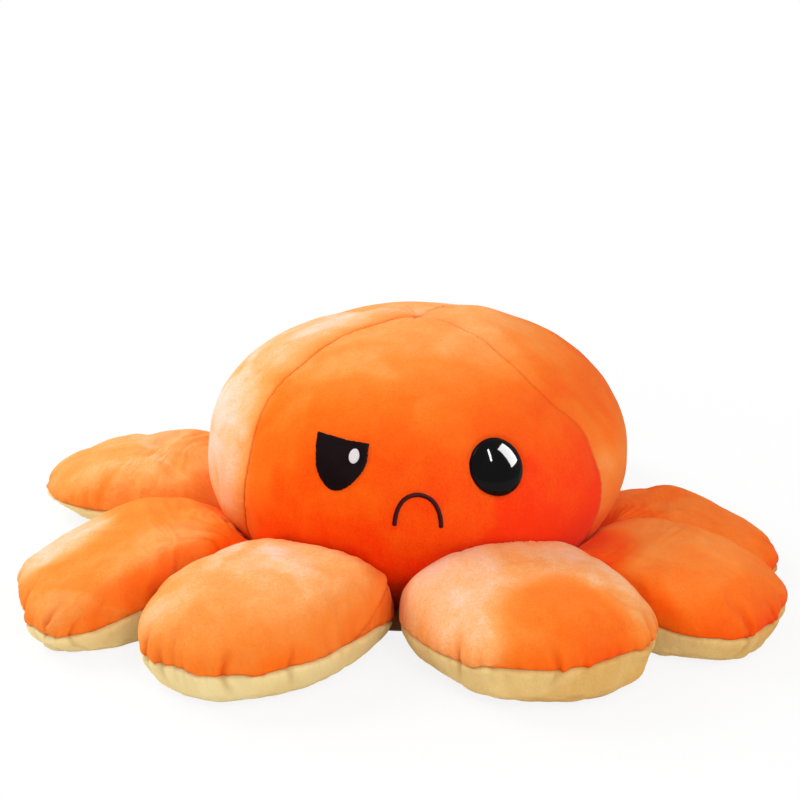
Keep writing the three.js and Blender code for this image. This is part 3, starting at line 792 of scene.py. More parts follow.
step_length = np.concatenate([[0], np.cumsum(np.linalg.norm(np.diff(path, axis=0), axis=1))])
from_end = np.clip(np.minimum(step_length, step_length[-1] - step_length) / mouth_end_length, 0, 1)
end_round = np.sqrt(np.clip(1 - (1 - from_end) ** 2, 0.02, 1))
ragged = 1 + mouth_raggedness * np.random.default_rng(8).uniform(-1, 1, len(path))
mouth_rings = []
for turn in np.linspace(0, 2 * math.pi, mouth_sides, endpoint=False):
    across = math.cos(turn) * mouth_half_width * end_round * ragged
    lift = math.sin(turn) * (1 if turn < math.pi else 0.5)
    flat = path + beside * across[:, None]
    mouth_rings.append(on_face(flat[:, 0], flat[:, 1], patch_gap + mouth_rise * lift * end_round))
mouth_rings = np.array(mouth_rings).transpose(1, 0, 2)
mouth_points, mouth_faces = ring_body(mouth_rings, mouth_rings[0].mean(axis=0), mouth_rings[-1].mean(axis=0))
mouth_stitch = np.append(np.repeat(step_length, mouth_sides), step_length[[0, -1]]) / stitch_width
mouth_thinned = np.full(len(mouth_points), mouth_thinning)
mouth = make_piece(
    "mouth_stitched", mouth_points, mouth_faces, black_thread, stitch=mouth_stitch, thinned=mouth_thinned
)
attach(mouth, "head")
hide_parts("mouth_embroidery")

# Pocket. Four slices of yellow plush lining sewn like the head, under it and open downwards,
# so that the toy can be pulled inside out through it.
# Yellow plush from the lowest to the highest mark: ochre in painted shade, the dyed yellow in the middle, and
# pale cream in painted light.
yellow_nap_and_light_ramp = [
    (0.0, (0.62, 0.25, 0.045)),
    (0.35, (0.76, 0.44, 0.13)),
    (0.65, (0.87, 0.65, 0.28)),
    (1.0, (0.96, 0.81, 0.43)),
]
yellow_plush = plush("yellow plush", yellow_nap_and_light_ramp, (0.42, 0.17, 0.03), (1.0, 0.95, 0.85))
yellow_nap = 0.72
lining_thickness = 2.2 * mm
pocket_lump_height = 2.2 * mm
pocket_fine_lump_height = 0.8 * mm
pocket_trench_depth = 2.2 * mm
pocket_trench_width = 4 * mm
pocket_pull = 1.8 * mm
pocket_pull_width = 12 * mm
pocket_pucker_height = 0.8 * mm
pocket_mouth_gather = 1.4 * mm
pocket_fade_radius = 20 * mm
pocket_seam_shade_width = 2 * mm
pocket_floor_gap = 0.6 * mm
pocket_angles = np.linspace(0.0, math.pi / 2 - 0.004, 110)
pocket_seams = {"face": (-52, 58), "right": (58, 141), "back": (141, 225), "left": (225, 308)}
for name, (from_azimuth, to_azimuth) in pocket_seams.items():
    across_slice = from_azimuth + (to_azimuth - from_azimuth) * eased(60, 0.2)
    azimuths = np.tile(across_slice, (len(pocket_angles), 1))
    radius, height = pocket_curve(pocket_angles)
    radius, height = radius[:, None] + 0 * azimuths, height[:, None] + 0 * azimuths
    away = np.radians(np.minimum(azimuths - from_azimuth, to_azimuth - azimuths)) * radius
    bare = around(azimuths, radius, height)
    fade = np.clip(radius / pocket_fade_radius, 0, 1)
    pucker = gathers(height, 9 * mm, 60) - 0.4
    mouth_pucker = gathers(azimuths * mm, 7 * mm, 63) - 0.4
    push = pocket_lump_height * lumps(bare, 60 * mm, 21) + pocket_fine_lump_height * lumps(bare, 18 * mm, 22)
    push -= fade * trench(away, pocket_trench_depth, pocket_trench_width)
    push += fade * pocket_pull * bell(away, pocket_pull_width)
    push += fade * pocket_pucker_height * pucker * np.exp(-away / (10 * mm))
    push += pocket_mouth_gather * mouth_pucker * np.exp(-(height - head_foot_height) / (14 * mm))
    radius = np.maximum(radius + (push - lining_thickness) * np.cos(pocket_angles)[:, None], 0.1 * mm)
    height = np.maximum(height + push * np.sin(pocket_angles)[:, None], pocket_floor_gap)
    # Painted shade along the seams.
    crease = np.clip(bell(away, pocket_seam_shade_width) * fade, 0, 1)
    lining = make_piece(
        f"pocket_{name}_lining", around(azimuths, radius, height), grid_faces(*azimuths.shape)[:, ::-1],
        yellow_plush, crease=crease, brushed=np.full(crease.shape, yellow_nap),
    )
    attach(lining, "head")
    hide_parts(f"pocket_{name}_panel")

# Underside ring. A flat collar of the same yellow plush that joins the mouth of the pocket to
# the roots of the legs, gathered along both of its seams.
ring_inner = 70 * mm
ring_outer = 133 * mm
ring_thickness = 1.3 * mm
ring_trench_depth = 1.6 * mm
ring_trench_width = 4 * mm
ring_seam_shade_width = 2 * mm
radii = ring_inner + (ring_outer - ring_inner) * eased(40, 0.0)
ring_azimuth, ring_radius = np.meshgrid(np.linspace(0, 360, 540, endpoint=False), radii)
inner_away, outer_away = ring_radius - ring_inner, ring_outer - ring_radius
puckers = gathers(ring_azimuth * mm * 1.4, 8 * mm, 71) - 0.4
wide_puckers = gathers(ring_azimuth * mm * 2.3, 13 * mm, 73) - 0.4
ring_bare = around(ring_azimuth, ring_radius, 0 * ring_radius)
ring_height = ring_thickness + 0.5 * mm * lumps(ring_bare, 45 * mm, 75)
ring_height -= 0.9 * mm * puckers * np.exp(-inner_away / (9 * mm))
ring_height -= 1.0 * mm * wide_puckers * np.exp(-outer_away / (14 * mm))
# Painted shade along both seams.
ring_crease = 0.0
for seam_away in (inner_away, outer_away):
    ring_height -= trench(seam_away, ring_trench_depth, ring_trench_width)
    ring_crease = ring_crease + bell(seam_away, ring_seam_shade_width)
ring_points = around(ring_azimuth, ring_radius, np.maximum(ring_height, 0.3 * mm))
collar = make_piece(
    "underside_collar", ring_points, grid_faces(*ring_azimuth.shape, closed=True)[:, ::-1], yellow_plush,
    crease=np.clip(ring_crease, 0, 1), brushed=np.full(ring_crease.shape, yellow_nap),
)
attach(collar, "head")
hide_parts("underside_ring")

# Legs. Eight stuffed petals round the foot of the head. Each is an orange top panel and a
# yellow bottom panel sewn round their rim, gathered at the root and sewn to the collar, so it
# lifts and droops at its root. The stuffing is blown in and the rim draws up into puckers.
hinge_radius = 153.68 * mm
root_radius = 112 * mm
leg_gap = 0.4 * mm
widest_share = 0.46
middle_line_ends = (0.26, 0.68)
rim_height = 27 * mm
root_rim_height = 9 * mm
root_power = 3.9
tip_power = 2.35
bottom_bulge = -2.6 * mm
rim_trench_depth = 2.0 * mm
rim_trench_width = 4.5 * mm
rim_shade_width = 1.2 * mm
bulge_from_rim = 13 * mm
bulge_width = 9 * mm
pucker_height = 1.3 * mm
pucker_reach = 7 * mm
pucker_length = 9.5 * mm
top_long_pucker_height = 1.5 * mm
bottom_long_pucker_height = 2.4 * mm
long_pucker_reach = 24 * mm
long_pucker_length = 21 * mm
leg_lump_height = 2.2 * mm
leg_lump_length = 85 * mm
leg_fine_lump_height = 0.7 * mm
leg_fine_lump_length = 30 * mm
leg_rings = 47
leg_stations = 160
# Share of the way from the root to the tip, and the side, of each point round the rim
side_share = np.concatenate([np.arange(leg_stations + 1), np.arange(leg_stations - 1, 0, -1)]) / leg_stations
rim_side = np.where(np.arange(2 * leg_stations) <= leg_stations, 1, -1)
# Each leg in degrees, millimetres and shares: azimuth, sector from and to, length from the hinge,
# half widths, ridge above the rim, height of the rim at the tip, and how full the shoulders are
Leg = namedtuple("Leg", "azimuth first last length left_width right_width ridge tip_rim fullness seed")
leg_table = {
    "l1": Leg(-35, -52, -6, 123, 68, 78, 46, 26, 1.0, 101),
    "r1": Leg(25, -6, 41, 108, 83, 84, 43, 33, 1.0, 102),
    "l2": Leg(-62, -90, -52, 151, 96, 92, 42, 18, 0.3, 103),
    "r2": Leg(57, 41, 72, 135, 80, 75, 40, 24, 0.5, 104),
    "l3": Leg(-112, -136, -90, 170, 76, 76, 41, 22, 0.2, 105),
    "r3": Leg(86, 72, 106, 121, 66, 66, 29, 12, 0.3, 106),
    "r4": Leg(147, 106, 170, 120, 70, 70, 40, 26, 0.3, 107),
    "l4": Leg(-163, -190, -136, 130, 76, 76, 42, 26, 0.3, 108),
}
# Section of each leg: how full it is at the root on the left and right, how much higher it
# lies there towards the right, how much higher all over, how blunt its tip is left and right,
# and how square its underside is
leg_shoulders = {
    "l1": (-0.3, 0.6, 0.25, -0.08, 2.3, 2.3, 3.0),
    "r1": (0.05, -0.1, -0.2, 0.13, 2.3, 2.3, 2.85),
    "l2": (0.3, -0.25, 0.0, 0.0, 3.6, 2.3, 3.0),
    "r2": (0.2, 0.3, 0.0, -0.2, 2.3, 2.3, 3.1),
    "l3": (0.2, 0.2, 0.0, -0.12, 2.3, 2.3, 2.1),
    "r3": (0.3, 0.3, 0.0, -0.28, 2.3, 2.3, 2.6),
    "r4": (0.3, 0.3, 0.0, 0.0, 2.3, 2.3, 3.0),
    "l4": (0.3, 0.3, 0.0, 0.0, 2.3, 2.3, 3.0),
}
# Gathers at each root: height, degrees from fold to fold, where they start and how far they
# run, and the point they all run to (millimetres out and across)
leg_gathers = {
    "l1": (1.6, 4.2, 128, 45, -153.7, 0),
    "r1": (1.6, 4.2, 128, 45, -153.7, 0),
    "l2": (4.6, 15.0, 0, 46, 4, 32),
    "r2": (4.4, 15.0, 0, 44, -8, -36),
    "l3": (1.5, 20.0, 0, 32, -6, 48),
    "r3": (4.2, 15.0, 0, 46, -8, -34),
    "r4": (2.6, 4.0, 128, 55, -153.7, 0),
    "l4": (2.6, 4.0, 128, 55, -153.7, 0),
}
# Tucks in each rim: share of the way from the root to the tip, side, and in millimetres the
# length inwards and the depth
leg_tucks = {
    "l1": [(0.93, -1, 17, 1.6), (0.985, -1, 12, 1.4), (0.86, 1, 14, 1.4), (0.7, 1, 12, 1.2)],
    "r1": [(0.84, 1, 20, 2.0), (0.78, 1, 13, 1.4), (0.66, -1, 14, 1.4), (0.9, -1, 12, 1.1)],
    "l2": [(0.9, 1, 24, 3.0), (0.985, -1, 16, 2.4), (0.8, 1, 13, 1.5), (0.86, -1, 12, 1.4)],
    "r2": [(0.88, -1, 19, 2.0), (0.99, -1, 14, 1.7), (0.86, 1, 13, 1.5)],
    "l3": [(0.97, -1, 18, 2.4), (0.9, 1, 13, 1.4), (0.82, -1, 12, 1.2)],
    "r3": [(0.97, -1, 16, 2.0), (0.88, 1, 14, 1.5), (0.6, -1, 14, 1.6)],
    "r4": [(0.95, -1, 16, 2.0), (0.85, 1, 13, 1.5), (0.7, -1, 12, 1.2)],
    "l4": [(0.96, 1, 16, 2.0), (0.84, -1, 13, 1.5), (0.72, 1, 12, 1.2)],
}
# On one front leg the cover lies in a fold along its shoulder: side, shares of the way to the
# tip, how far from the rim the fold lies at each, and its depth
shoulder_fold = {"l1": (1, [0.0, 0.16, 0.3, 0.42, 0.5], [62, 50, 33, 14, 2], 2.6)}
# Painted light and shade on each leg, over the way its nap was stroked: its level, how much paler the slope
# to the front is, the level under it on the yellow, and strokes of the hand, paler or darker patches that
# also carry painted light and shade (millimetres out and across, reach, amount)
# Painted light: paler where a leg faces up and to the left. Painted shade: darker near its root, under the
# head.
leg_nap = 0.62
root_shade = 0.45
root_shade_radius = 128 * mm
root_shade_reach = 30 * mm
leg_light_way = np.array([-0.12, 0.0, 0.22])
yellow_light_way = np.array([-0.12, 0.05, 0.0])
leg_naps_and_light = {
    "l1": (-0.06, -0.1, 0.14, [(36, 40, 46, 0.08), (34, -20, 38, 0.05), (60, -50, 30, -0.04)]),
    "r1": (0.02, -0.08, -0.21, [(94, -14, 42, -0.3), (50, 50, 40, 0.03)]),
    "l2": (-0.23, 0.08, 0.06, [(112, -56, 40, 0.26), (60, 48, 46, 0.08), (4, 34, 24, -0.2)]),
    "r2": (-0.28, -0.2, -0.2, [(100, 30, 36, 0.05), (0, -36, 40, -0.4)]),
    "l3": (-0.08, -0.05, 0.0, [(130, 20, 40, -0.04)]),
    "r3": (-0.36, 0.0, -0.3, [(0, -34, 34, -0.2)]),
    "r4": (-0.34, 0.0, -0.3, []),
    "l4": (-0.1, 0.0, 0.0, []),
}
# The legs keep just off the floor, further off over the collar, and under the head
floor_gap = 0.3 * mm
collar_gap = 3.0 * mm
collar_radius = 131 * mm
past_collar_radius = 142 * mm
floor_softness = 0.8 * mm
head_gap = 0.8 * mm


def soft_lower(a, b, power):
    """The lower of two lengths, rounded where they meet."""
    return 1 / (1 / a**power + 1 / b**power) ** (1 / power)


def soft_step(x, low, high):
    """From 0 below low to 1 above high."""
    t = np.clip((x - low) / (high - low), 0, 1)
    return t * t * (3 - 2 * t)


def from_axis(points):
    """How far points lie from the upright axis of the head."""
    return np.linalg.norm((points - head_axis)[..., :2], axis=-1)


def leg_ways(azimuth):
    """The level directions out along a leg and across it."""
    turn = math.radians(azimuth)
    return np.array([math.sin(turn), -math.cos(turn), 0]), np.array([math.cos(turn), math.sin(turn), 0])


def leg_half_outline(leg, side, blunt):
    """Even steps along one side of the petal, from the middle of the root to the tip."""
    half_width = leg.right_width if side > 0 else leg.left_width
    low, tip = root_radius - hinge_radius, leg.length * mm
    t = eased(1500, 0.0)
    out = low + (tip - low) * t
    shoulder = [0.86, 0.96 + 0.06 * leg.fullness, 1 + 0.05 * leg.fullness, 1, 1]
    past = np.clip((t - widest_share) / (1 - widest_share), 0, 1)
    full = half_width * mm * smooth_table(t, [0, 0.15, 0.3, 0.5, 1], shoulder)
    full = full * (1 - past**blunt) ** (1 / 2.2)
    corner = np.sqrt(np.clip(1 - (1 - np.clip(t / 0.05, 0, 1)) ** 2, 0, 1))
    across = side * full * corner
    across[0] = across[-1] = 0
    return even_steps(np.stack([out, across], axis=1), leg_stations + 1, closed=False)


def head_under(radius):
    """Height of the underside of the head at a radius."""
    share = np.clip(radius / head_half_width, 0, 1)
    return head_widest_height - head_lower_drop * np.sqrt(1 - share**2)


def clear_of_head_and_floor(points, top):
    """The same points, pressed down by the head above them and up by the floor."""
    radius = from_axis(points)
    if top:
        under = np.maximum(head_under(radius) - head_gap, 2 * mm)
        points[..., 2] = np.where(radius < head_half_width, np.minimum(points[..., 2], under), points[..., 2])
    lowest = floor_gap + collar_gap * soft_step(-radius, -past_collar_radius, -collar_radius)
    points[..., 2] = lowest + floor_softness * np.logaddexp(0, (points[..., 2] - lowest) / floor_softness)
    return points


def leg_form(name, leg, top):
    """The stuffed form of one face of a leg before its folds.

    It gives rings of points from the rim to the middle line, the places out and across of the
    points, how far the filling swells them, and the outline of the rim.
    """
    low, tip = root_radius - hinge_radius, leg.length * mm
    left_full, right_full, lean, root_rise, left_blunt, right_blunt, bottom_power = leg_shoulders[name]
    right, left = leg_half_outline(leg, 1, right_blunt), leg_half_outline(leg, -1, left_blunt)
    outline = np.vstack([right, left[-2:0:-1]])
    middle = low + (tip - low) * np.interp(side_share, [0, 1], middle_line_ends)
    power = bottom_power
    if top:
        root = tip_power + (root_power - tip_power) * np.where(outline[:, 1] > 0, right_full, left_full)
        power = root - (root - tip_power) * soft_step(side_share, 0.4, 0.9)
    theta = ((np.arange(leg_rings) / (leg_rings - 1)) ** 1.22 * 0.98 * math.pi / 2)[:, None]
    share = np.cos(theta) ** (2 / power)
    swell = np.sin(theta) ** (2 / power)
    out = middle + (outline[None, :, 0] - middle) * share
    across = outline[None, :, 1] * share
    sector = np.tan(np.radians(np.where(across > 0, leg.last - leg.azimuth, leg.azimuth - leg.first)))
    room = (hinge_radius + out) * sector - leg_gap / 2
    wide = soft_lower(np.maximum(np.abs(across), 1e-6), room, 2.6 + 9.4 * leg.fullness**2)
    across = np.sign(across) * wide
    t = (out - low) / (tip - low)
    rim = rim_height - (rim_height - root_rim_height) * np.clip(1 - t / 0.3, 0, 1) ** 1.5
    rim = rim - (rim_height - leg.tip_rim * mm) * soft_step(t, 0.45, 0.95)
    if top:
        slack = 1 - leg.fullness
        ridge_line = [0.3, 0.72 - 0.1 * slack, 0.97 - 0.1 * slack, 1.0 - 0.03 * slack, 0.96, 0.84, 0.66]
        tall = leg.ridge * mm * smooth_table(t, [0, 0.12, 0.26, 0.4, 0.55, 0.75, 1], ridge_line)
        near_root = soft_step(1 - t, 0.3, 0.8)
        height = rim + tall * swell * (1 + (lean * across / (80 * mm) + root_rise) * near_root)
    else:
        height = rim - (rim + 3 * mm) * swell
    out_way, across_way = leg_ways(leg.azimuth)
    points = head_axis + (hinge_radius + out)[..., None] * out_way + across[..., None] * across_way
    points[..., 2] = height
    return points, out, across, swell, outline


def root_folds(name, seed, out, across):
    """The gathers that run out from a root: their height, their ripple and where they fade."""
    height, spacing, start, reach, at_out, at_across = leg_gathers[name]
    from_point = np.hypot(out - at_out * mm, across - at_across * mm)
    fade = bell(np.clip(from_point - start * mm, 0, None), reach * mm)
    if start:
        fan = np.degrees(np.arctan2(across - at_across * mm, out - at_out * mm))
    else:
        fan = np.degrees(np.arctan2(out - at_out * mm, (at_across * mm - across) * np.sign(at_across)))
        fade = fade * soft_step(from_point, 3 * mm, 14 * mm) * soft_step(-np.abs(fan - 20), -100, -55)
    return height, gathers(fan, spacing, seed + 90) - 0.42, fade


def leg_nap_and_light_at(name, top, places, normal, radius):
    """The nap of a leg at each point, with painted light where it faces up and to the left and painted shade
    at its root under the head.
    """
    offset, slope, yellow_light_offset, pale_and_dark_patches = leg_naps_and_light[name]
    if not top:
        return yellow_nap + normal @ yellow_light_way + yellow_light_offset
    brushed = leg_nap + normal @ leg_light_way + offset + slope * np.clip(-normal[..., 1], 0, 1)
    for at_out, at_across, reach, amount in pale_and_dark_patches:
        apart = np.hypot(places[0] - at_out * mm, places[1] - at_across * mm)
        brushed += amount * soft_step(-apart, -1.25 * reach * mm, -0.75 * reach * mm)
    from_root = np.clip(radius - root_shade_radius, 0, None)
    return brushed - root_shade * np.clip(1 - from_root / root_shade_reach, 0, 1) ** 1.5


def from_rim(rings):
    """The way from the rim to each point, over the rings."""
    steps = np.linalg.norm(np.diff(rings, axis=0), axis=-1)
    return np.vstack([np.zeros((1, rings.shape[1])), np.cumsum(steps, axis=0)])


def leg_surface(name, leg, top):
    """Rings of points of one face of the leg with its folds, the painted shade in its rim seam, puckers,
    gathers, tucks and fold, and its nap with painted light and shade.
    """
    points, out, across, swell, outline = leg_form(name, leg, top)
    away = from_rim(points)
    rim_step = np.linalg.norm(np.diff(np.vstack([outline, outline[:1]]), axis=0), axis=1)
    along = np.concatenate([[0], np.cumsum(rim_step)[:-1]])[None, :] + 0 * away
    along_row = np.roll(points, -1, axis=1) - np.roll(points, 1, axis=1)
    along_ring = np.gradient(points, axis=0)
    normal = np.cross(along_ring, along_row) * (1 if top else -1)
    normal /= np.maximum(np.linalg.norm(normal, axis=-1), 1e-12)[..., None]

    pucker = gathers(along, pucker_length, leg.seed) - 0.42
    long_pucker = gathers(along, long_pucker_length, leg.seed + 50) - 0.42
    fine_lumps = leg_fine_lump_height * lumps(points, leg_fine_lump_length, leg.seed + 20)
    push = (leg_lump_height * lumps(points, leg_lump_length, leg.seed + 10) + fine_lumps) * swell
    push += trench(away, rim_trench_depth, rim_trench_width)
    if not top:
        push += bottom_bulge * bell(away - bulge_from_rim, bulge_width)
    push += pucker_height * pucker * np.exp(-away / pucker_reach)
    push += 0.35 * mm * pucker * np.exp(-away / (20 * mm))
    long_fade = np.exp(-away / long_pucker_reach) * np.clip(away / (4 * mm), 0, 1)
    push += (top_long_pucker_height if top else bottom_long_pucker_height) * long_pucker * long_fade
    # Painted shade from here on: along the rim seam, between the puckers and gathers, in the tucks and in the
    # shoulder fold.
    crease = 0.6 * bell(away, rim_shade_width)
    crease += 0.7 * np.clip(-pucker - 0.15, 0, 1) * np.exp(-away / (9 * mm))

    gather_height, ripple, fade = root_folds(name, leg.seed, out, across)
    push += mm * gather_height * ripple * fade * swell
    crease += 1.8 * np.clip(-ripple - 0.12, 0, 1) * fade * min(gather_height / 3, 1)
    for place, side, reach, depth in leg_tucks[name]:
        at = along[0, side * int(place * leg_stations)]
        apart = (along - at + 0.25 * away * side) / (1.7 * mm + 0.12 * away)
        near = bell(away, reach * mm)
        push -= depth * mm * bell(apart, 1) * near
        push += 0.5 * depth * mm * bell(np.abs(apart) - 2, 1) * near
        crease += 0.55 * bell(apart, 1) * near
    if top and name in shoulder_fold:
        fold_side, shares, from_edge, depth = shoulder_fold[name]
        folded = (rim_side == fold_side) & (side_share <= shares[-1])
        inside = away - smooth_table(side_share, shares, from_edge) * mm
        push -= folded * depth * mm * bell(inside, 2.4 * mm)
        push += folded * 0.8 * depth * mm * bell(inside - 5 * mm, 4 * mm)
        crease += folded * 0.7 * bell(inside, 1.5 * mm)
    brushed = leg_nap_and_light_at(name, top, (out, across), normal, from_axis(points))
    points = clear_of_head_and_floor(points + normal * push[..., None], top)
    return points, np.clip(crease, 0, 1), brushed


def leg_faces(rings, stations):
    """Quads between the rings, and across the middle line where the two sides meet."""
    count = 2 * stations
    faces = [tuple(f) for f in grid_faces(rings, count, closed=True)]
    start = (rings - 1) * count
    for k in range(1, stations - 1):
        faces.append((start + k, start + k + 1, start + count - k - 1, start + count - k))
    faces.append((start, start + 1, start + count - 1))
    faces.append((start + stations - 1, start + stations, start + stations + 1))
    return faces


# The sewn covers are blown up and settle for some frames. Only the folds are taken from that,
# and they fade towards the head, where the cover is held.
sim_frames = 18
sim_reach = 3 * mm
broad_passes = 60
fold_share = 0.6
root_fold_share = 0.15
folds_start = 160 * mm
folds_full = 235 * mm
held_radius = 158 * mm
held_width = 14 * mm
seam_shrink_reach = 6 * mm
cloth_values = {
    "quality": 6,
    "mass": 0.3,
    "tension_stiffness": 20,
    "compression_stiffness": 20,
    "shear_stiffness": 8,
    "bending_stiffness": 1.5,
    "tension_damping": 20,
    "compression_damping": 20,
    "shear_damping": 20,
    "air_damping": 4,
    "use_pressure": True,
    "uniform_pressure_force": 4.0,
    "vertex_group_mass": "held",
    "pin_stiffness": 4,
    "vertex_group_shrink": "drawn",
    "shrink_max": 0.1,
}


def settled(rest, faces, hold, draw):
    """Points of a sewn cover after it is blown up, where hold keeps it and draw shrinks it."""
    mesh = bpy.data.meshes.new("cover blank")
    mesh.from_pydata([tuple(p) for p in rest.tolist()], [], faces)
    blank = bpy.data.objects.new("cover blank", mesh)
    bpy.context.scene.collection.objects.link(blank)
    for group_name, weights, least in (("held", hold, 0), ("drawn", draw, 0.02)):
        group = blank.vertex_groups.new(name=group_name)
        for i in np.flatnonzero(weights > least):
            group.add([int(i)], float(weights[i]), "REPLACE")
    cloth = blank.modifiers.new("cloth", "CLOTH")
    for key, value in cloth_values.items():
        setattr(cloth.settings, key, value)
    cloth.settings.effector_weights.gravity = 0
    cloth.collision_settings.use_collision = False
    cloth.point_cache.frame_start = 1
    cloth.point_cache.frame_end = sim_frames
    scene = bpy.context.scene
    for number in range(1, sim_frames + 1):
        scene.frame_set(number)
    evaluated = blank.evaluated_get(bpy.context.evaluated_depsgraph_get())
    moved = np.empty(len(rest) * 3)
    evaluated.data.vertices.foreach_get("co", moved)
    scene.frame_set(1)
    bpy.data.objects.remove(blank)
    bpy.data.meshes.remove(mesh)
    return moved.reshape(-1, 3)


def blown_up(top, bottom):
    """How far each point of both faces of a leg moves when the sewn cover is blown up."""
    coarse_top, coarse_bottom = top[::2, ::2], bottom[::2, ::2]
    rings, count = coarse_top.shape[:2]
    rest = np.concatenate([coarse_top.reshape(-1, 3), coarse_bottom[1:].reshape(-1, 3)])
    faces = leg_faces(rings, count // 2)
    for face in leg_faces(rings, count // 2):
        faces.append(tuple(i if i < count else i + (rings - 1) * count for i in face[::-1]))
    away = from_rim(coarse_top)
    away = np.concatenate([away.ravel(), away[1:].ravel()])
    hold = np.clip((held_radius - from_axis(rest)) / held_width, 0, 1)
    shift = settled(rest, faces, hold, bell(away, seam_shrink_reach)) - rest
    top_shift = shift[: rings * count].reshape(rings, count, 3)
    bottom_shift = shift[rings * count:].reshape(rings - 1, count, 3)
    both = finer(folds_only(np.concatenate([bottom_shift[::-1], top_shift])))
    middle = 2 * (rings - 1)
    return both[middle:], both[middle::-1]


def folds_only(shift):
    """What differs along the rim in the same shift, with no point moved too far."""
    broad = shift
    for _ in range(broad_passes):
        broad = (np.roll(broad, 1, axis=1) + 2 * broad + np.roll(broad, -1, axis=1)) / 4
    shift = fold_share * (shift - broad)
    length = np.maximum(np.linalg.norm(shift, axis=-1), 1e-9)
    return shift * (np.tanh(length / sim_reach) * sim_reach / length)[..., None]


def past_the_root(points):
    """The share of the folds that is kept: a little beside the head, all on the outer half."""
    outer = soft_step(from_axis(points), folds_start, folds_full)
    return (root_fold_share + (1 - root_fold_share) * outer)[..., None]


def finer(grid):
    """A grid of values with smooth new ones between its rows and round its columns."""
    before, after, beyond = (np.roll(grid, step, axis=1) for step in (1, -1, -2))
    between = (9 * (grid + after) - before - beyond) / 16
    wide = np.empty((grid.shape[0], grid.shape[1] * 2, 3))
    wide[:, ::2], wide[:, 1::2] = grid, between
    padded = np.concatenate([wide[:1], wide, wide[-1:]])
    between = (9 * (padded[1:-2] + padded[2:-1]) - padded[:-3] - padded[3:]) / 16
    tall = np.empty((wide.shape[0] * 2 - 1, wide.shape[1], 3))
    tall[::2], tall[1::2] = wide, between
    return tall


leg_stuffing_share = 0.9
for name, leg in leg_table.items():
    top_points, *top_marks = leg_surface(name, leg, top=True)
    bottom_points, *bottom_marks = leg_surface(name, leg, top=False)
    top_shift, bottom_shift = blown_up(top_points, bottom_points)
    for points, shift, top in ((top_points, top_shift, True), (bottom_points, bottom_shift, False)):
        points += shift * past_the_root(points)
        clear_of_head_and_floor(points, top)
    covers = {
        "top": (top_points, top_marks, orange_plush, "orange_plush"),
        "bottom": (bottom_points, bottom_marks, yellow_plush, "yellow_plush"),
    }
    for part, (points, (crease, brushed), material, slot) in covers.items():
        faces = leg_faces(leg_rings, leg_stations)
        if part == "bottom":
            faces = [f[::-1] for f in faces]
        cover = make_piece(
            f"leg_{name}_{part}_cover", points, faces, material, crease=crease, brushed=brushed
        )
        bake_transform(cover)
        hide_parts(f"leg_{name}_{part}_panel")
    middle_line = (top_points[-1].mean(axis=0) + bottom_points[-1].mean(axis=0)) / 2
    rows = np.vstack([top_points[:5:-4][:, ::6], bottom_points[6::4][:, ::6]])
    inner = middle_line + (rows - middle_line) * leg_stuffing_share
    inner[..., 2] = np.maximum(inner[..., 2], stuffing_floor_gap)
    stuffing_points, stuffing_faces = ring_body(inner, inner[0].mean(axis=0), inner[-1].mean(axis=0))
    stuffing = make_piece(f"leg_{name}_stuffing", stuffing_points, stuffing_faces, stuffing_fibre)
    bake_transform(stuffing)
    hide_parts(f"leg_{name}_filling")

# Floor. A plain white paper sweep that takes the toy's shadow near it and is evenly bright
# further out.
floor_half_size = 20
sweep_near = 0.2
sweep_far = 0.7
sweep_least = 0.86
floor_mesh = bpy.data.meshes.new("floor")
sides = ((-1, -1), (1, -1), (1, 1), (-1, 1))
floor_corners = [(x * floor_half_size, y * floor_half_size, 0) for x, y in sides]
floor_mesh.from_pydata(floor_corners, [], [(0, 1, 2, 3)])
floor = bpy.data.objects.new("floor", floor_mesh)
bpy.context.scene.collection.objects.link(floor)
floor_white = bpy.data.materials.new("floor white")
floor_white.use_nodes = True
tree = floor_white.node_tree
tree.nodes.clear()
paper = add_node(tree, "ShaderNodeBsdfDiffuse", Color=(0.86, 0.86, 0.86, 1)).outputs[0]
glow = add_node(tree, "ShaderNodeEmission", Color=(1, 1, 1, 1), Strength=1.0).outputs[0]
place = add_node(tree, "ShaderNodeNewGeometry").outputs["Position"]
distance = add_node(tree, "ShaderNodeVectorMath", {"operation": "LENGTH"}, i0=place).outputs["Value"]
far = remap(tree, distance, sweep_near, sweep_far, sweep_least, 1.0, "SMOOTHSTEP")
rays = add_node(tree, "ShaderNodeLightPath").outputs
bounced = math_node(tree, "MAXIMUM", rays["Is Glossy Ray"], rays["Is Transmission Ray"])
seen = math_node(tree, "MAXIMUM", rays["Is Camera Ray"], bounced)
bright = math_node(tree, "MULTIPLY", seen, far)
sweep = add_node(tree, "ShaderNodeMixShader", i0=bright, i1=paper, i2=glow).outputs[0]
add_node(tree, "ShaderNodeOutputMaterial", Surface=sweep)
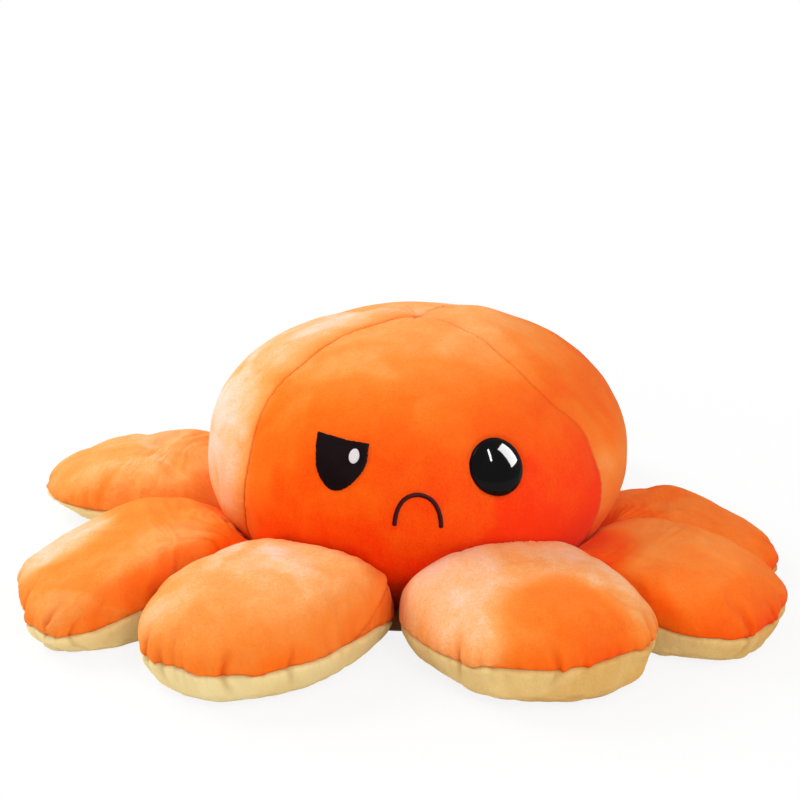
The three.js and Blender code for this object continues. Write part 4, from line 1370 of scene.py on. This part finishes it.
floor_mesh.materials.append(floor_white)

# Lamps. A large soft key from the upper left and a little behind, a softbox in front on the
# right, two panels that show only in the gloss of the eye, and an even white surround.
glint_distance = 1.2
glint_way = np.array([0.811, -0.128, 0.568])
rim_glint_way = np.array([0.351, -0.558, 0.746])
world = bpy.data.worlds.new("surround")
bpy.context.scene.world = world
world.use_nodes = True
set_inputs(world.node_tree, world.node_tree.nodes["Background"], Color=(1, 1, 1, 1), Strength=0.67)


def soft_light(name, place, target, width, height, power, shows=True, lights=True):
    """A lamp panel turned to its target, which shows in gloss or lights the plush, or both."""
    lamp = bpy.data.lights.new(name, "AREA")
    lamp.shape = "RECTANGLE"
    lamp.size, lamp.size_y, lamp.energy = width, height, power
    holder = bpy.data.objects.new(name, lamp)
    bpy.context.scene.collection.objects.link(holder)
    holder.location = place
    holder.visible_glossy = shows
    holder.visible_diffuse = lights
    holder.rotation_euler = (Vector(target) - Vector(place)).to_track_quat("-Z", "Y").to_euler()


glint_place = eye_middle + glint_distance * glint_way
rim_glint_place = eye_middle + glint_distance * rim_glint_way
soft_light("key", (-1.35, 0.55, 1.25), (0, 0, 0.08), 1.1, 1.1, 24)
soft_light("fill", (0.55, -1.3, 1.15), (0, 0, 0.1), 0.5, 0.7, 8, shows=False)
soft_light("eye glint", glint_place, eye_middle, 0.55, 0.75, 104, lights=False)
soft_light("eye rim glint", rim_glint_place, eye_middle, 0.06, 0.5, 14, lights=False)

# Camera. A short telephoto about a metre in front of the toy, which looks down on it a little
# so that the face and the tops of the legs both show.
camera_place = np.array([-0.0125, -1.05064, 0.4677])
camera_tilt = math.radians(17.895)
camera_data = bpy.data.cameras.new("camera")
camera_data.lens = 66.07
camera_data.sensor_width = 36
camera = bpy.data.objects.new("camera", camera_data)
bpy.context.scene.collection.objects.link(camera)
camera.location = head_axis + camera_place
camera.rotation_euler = (math.pi / 2 - camera_tilt, 0, 0)
bpy.context.scene.camera = camera
bpy.context.scene.view_settings.view_transform = "Standard"

bpy.context.view_layer.update()
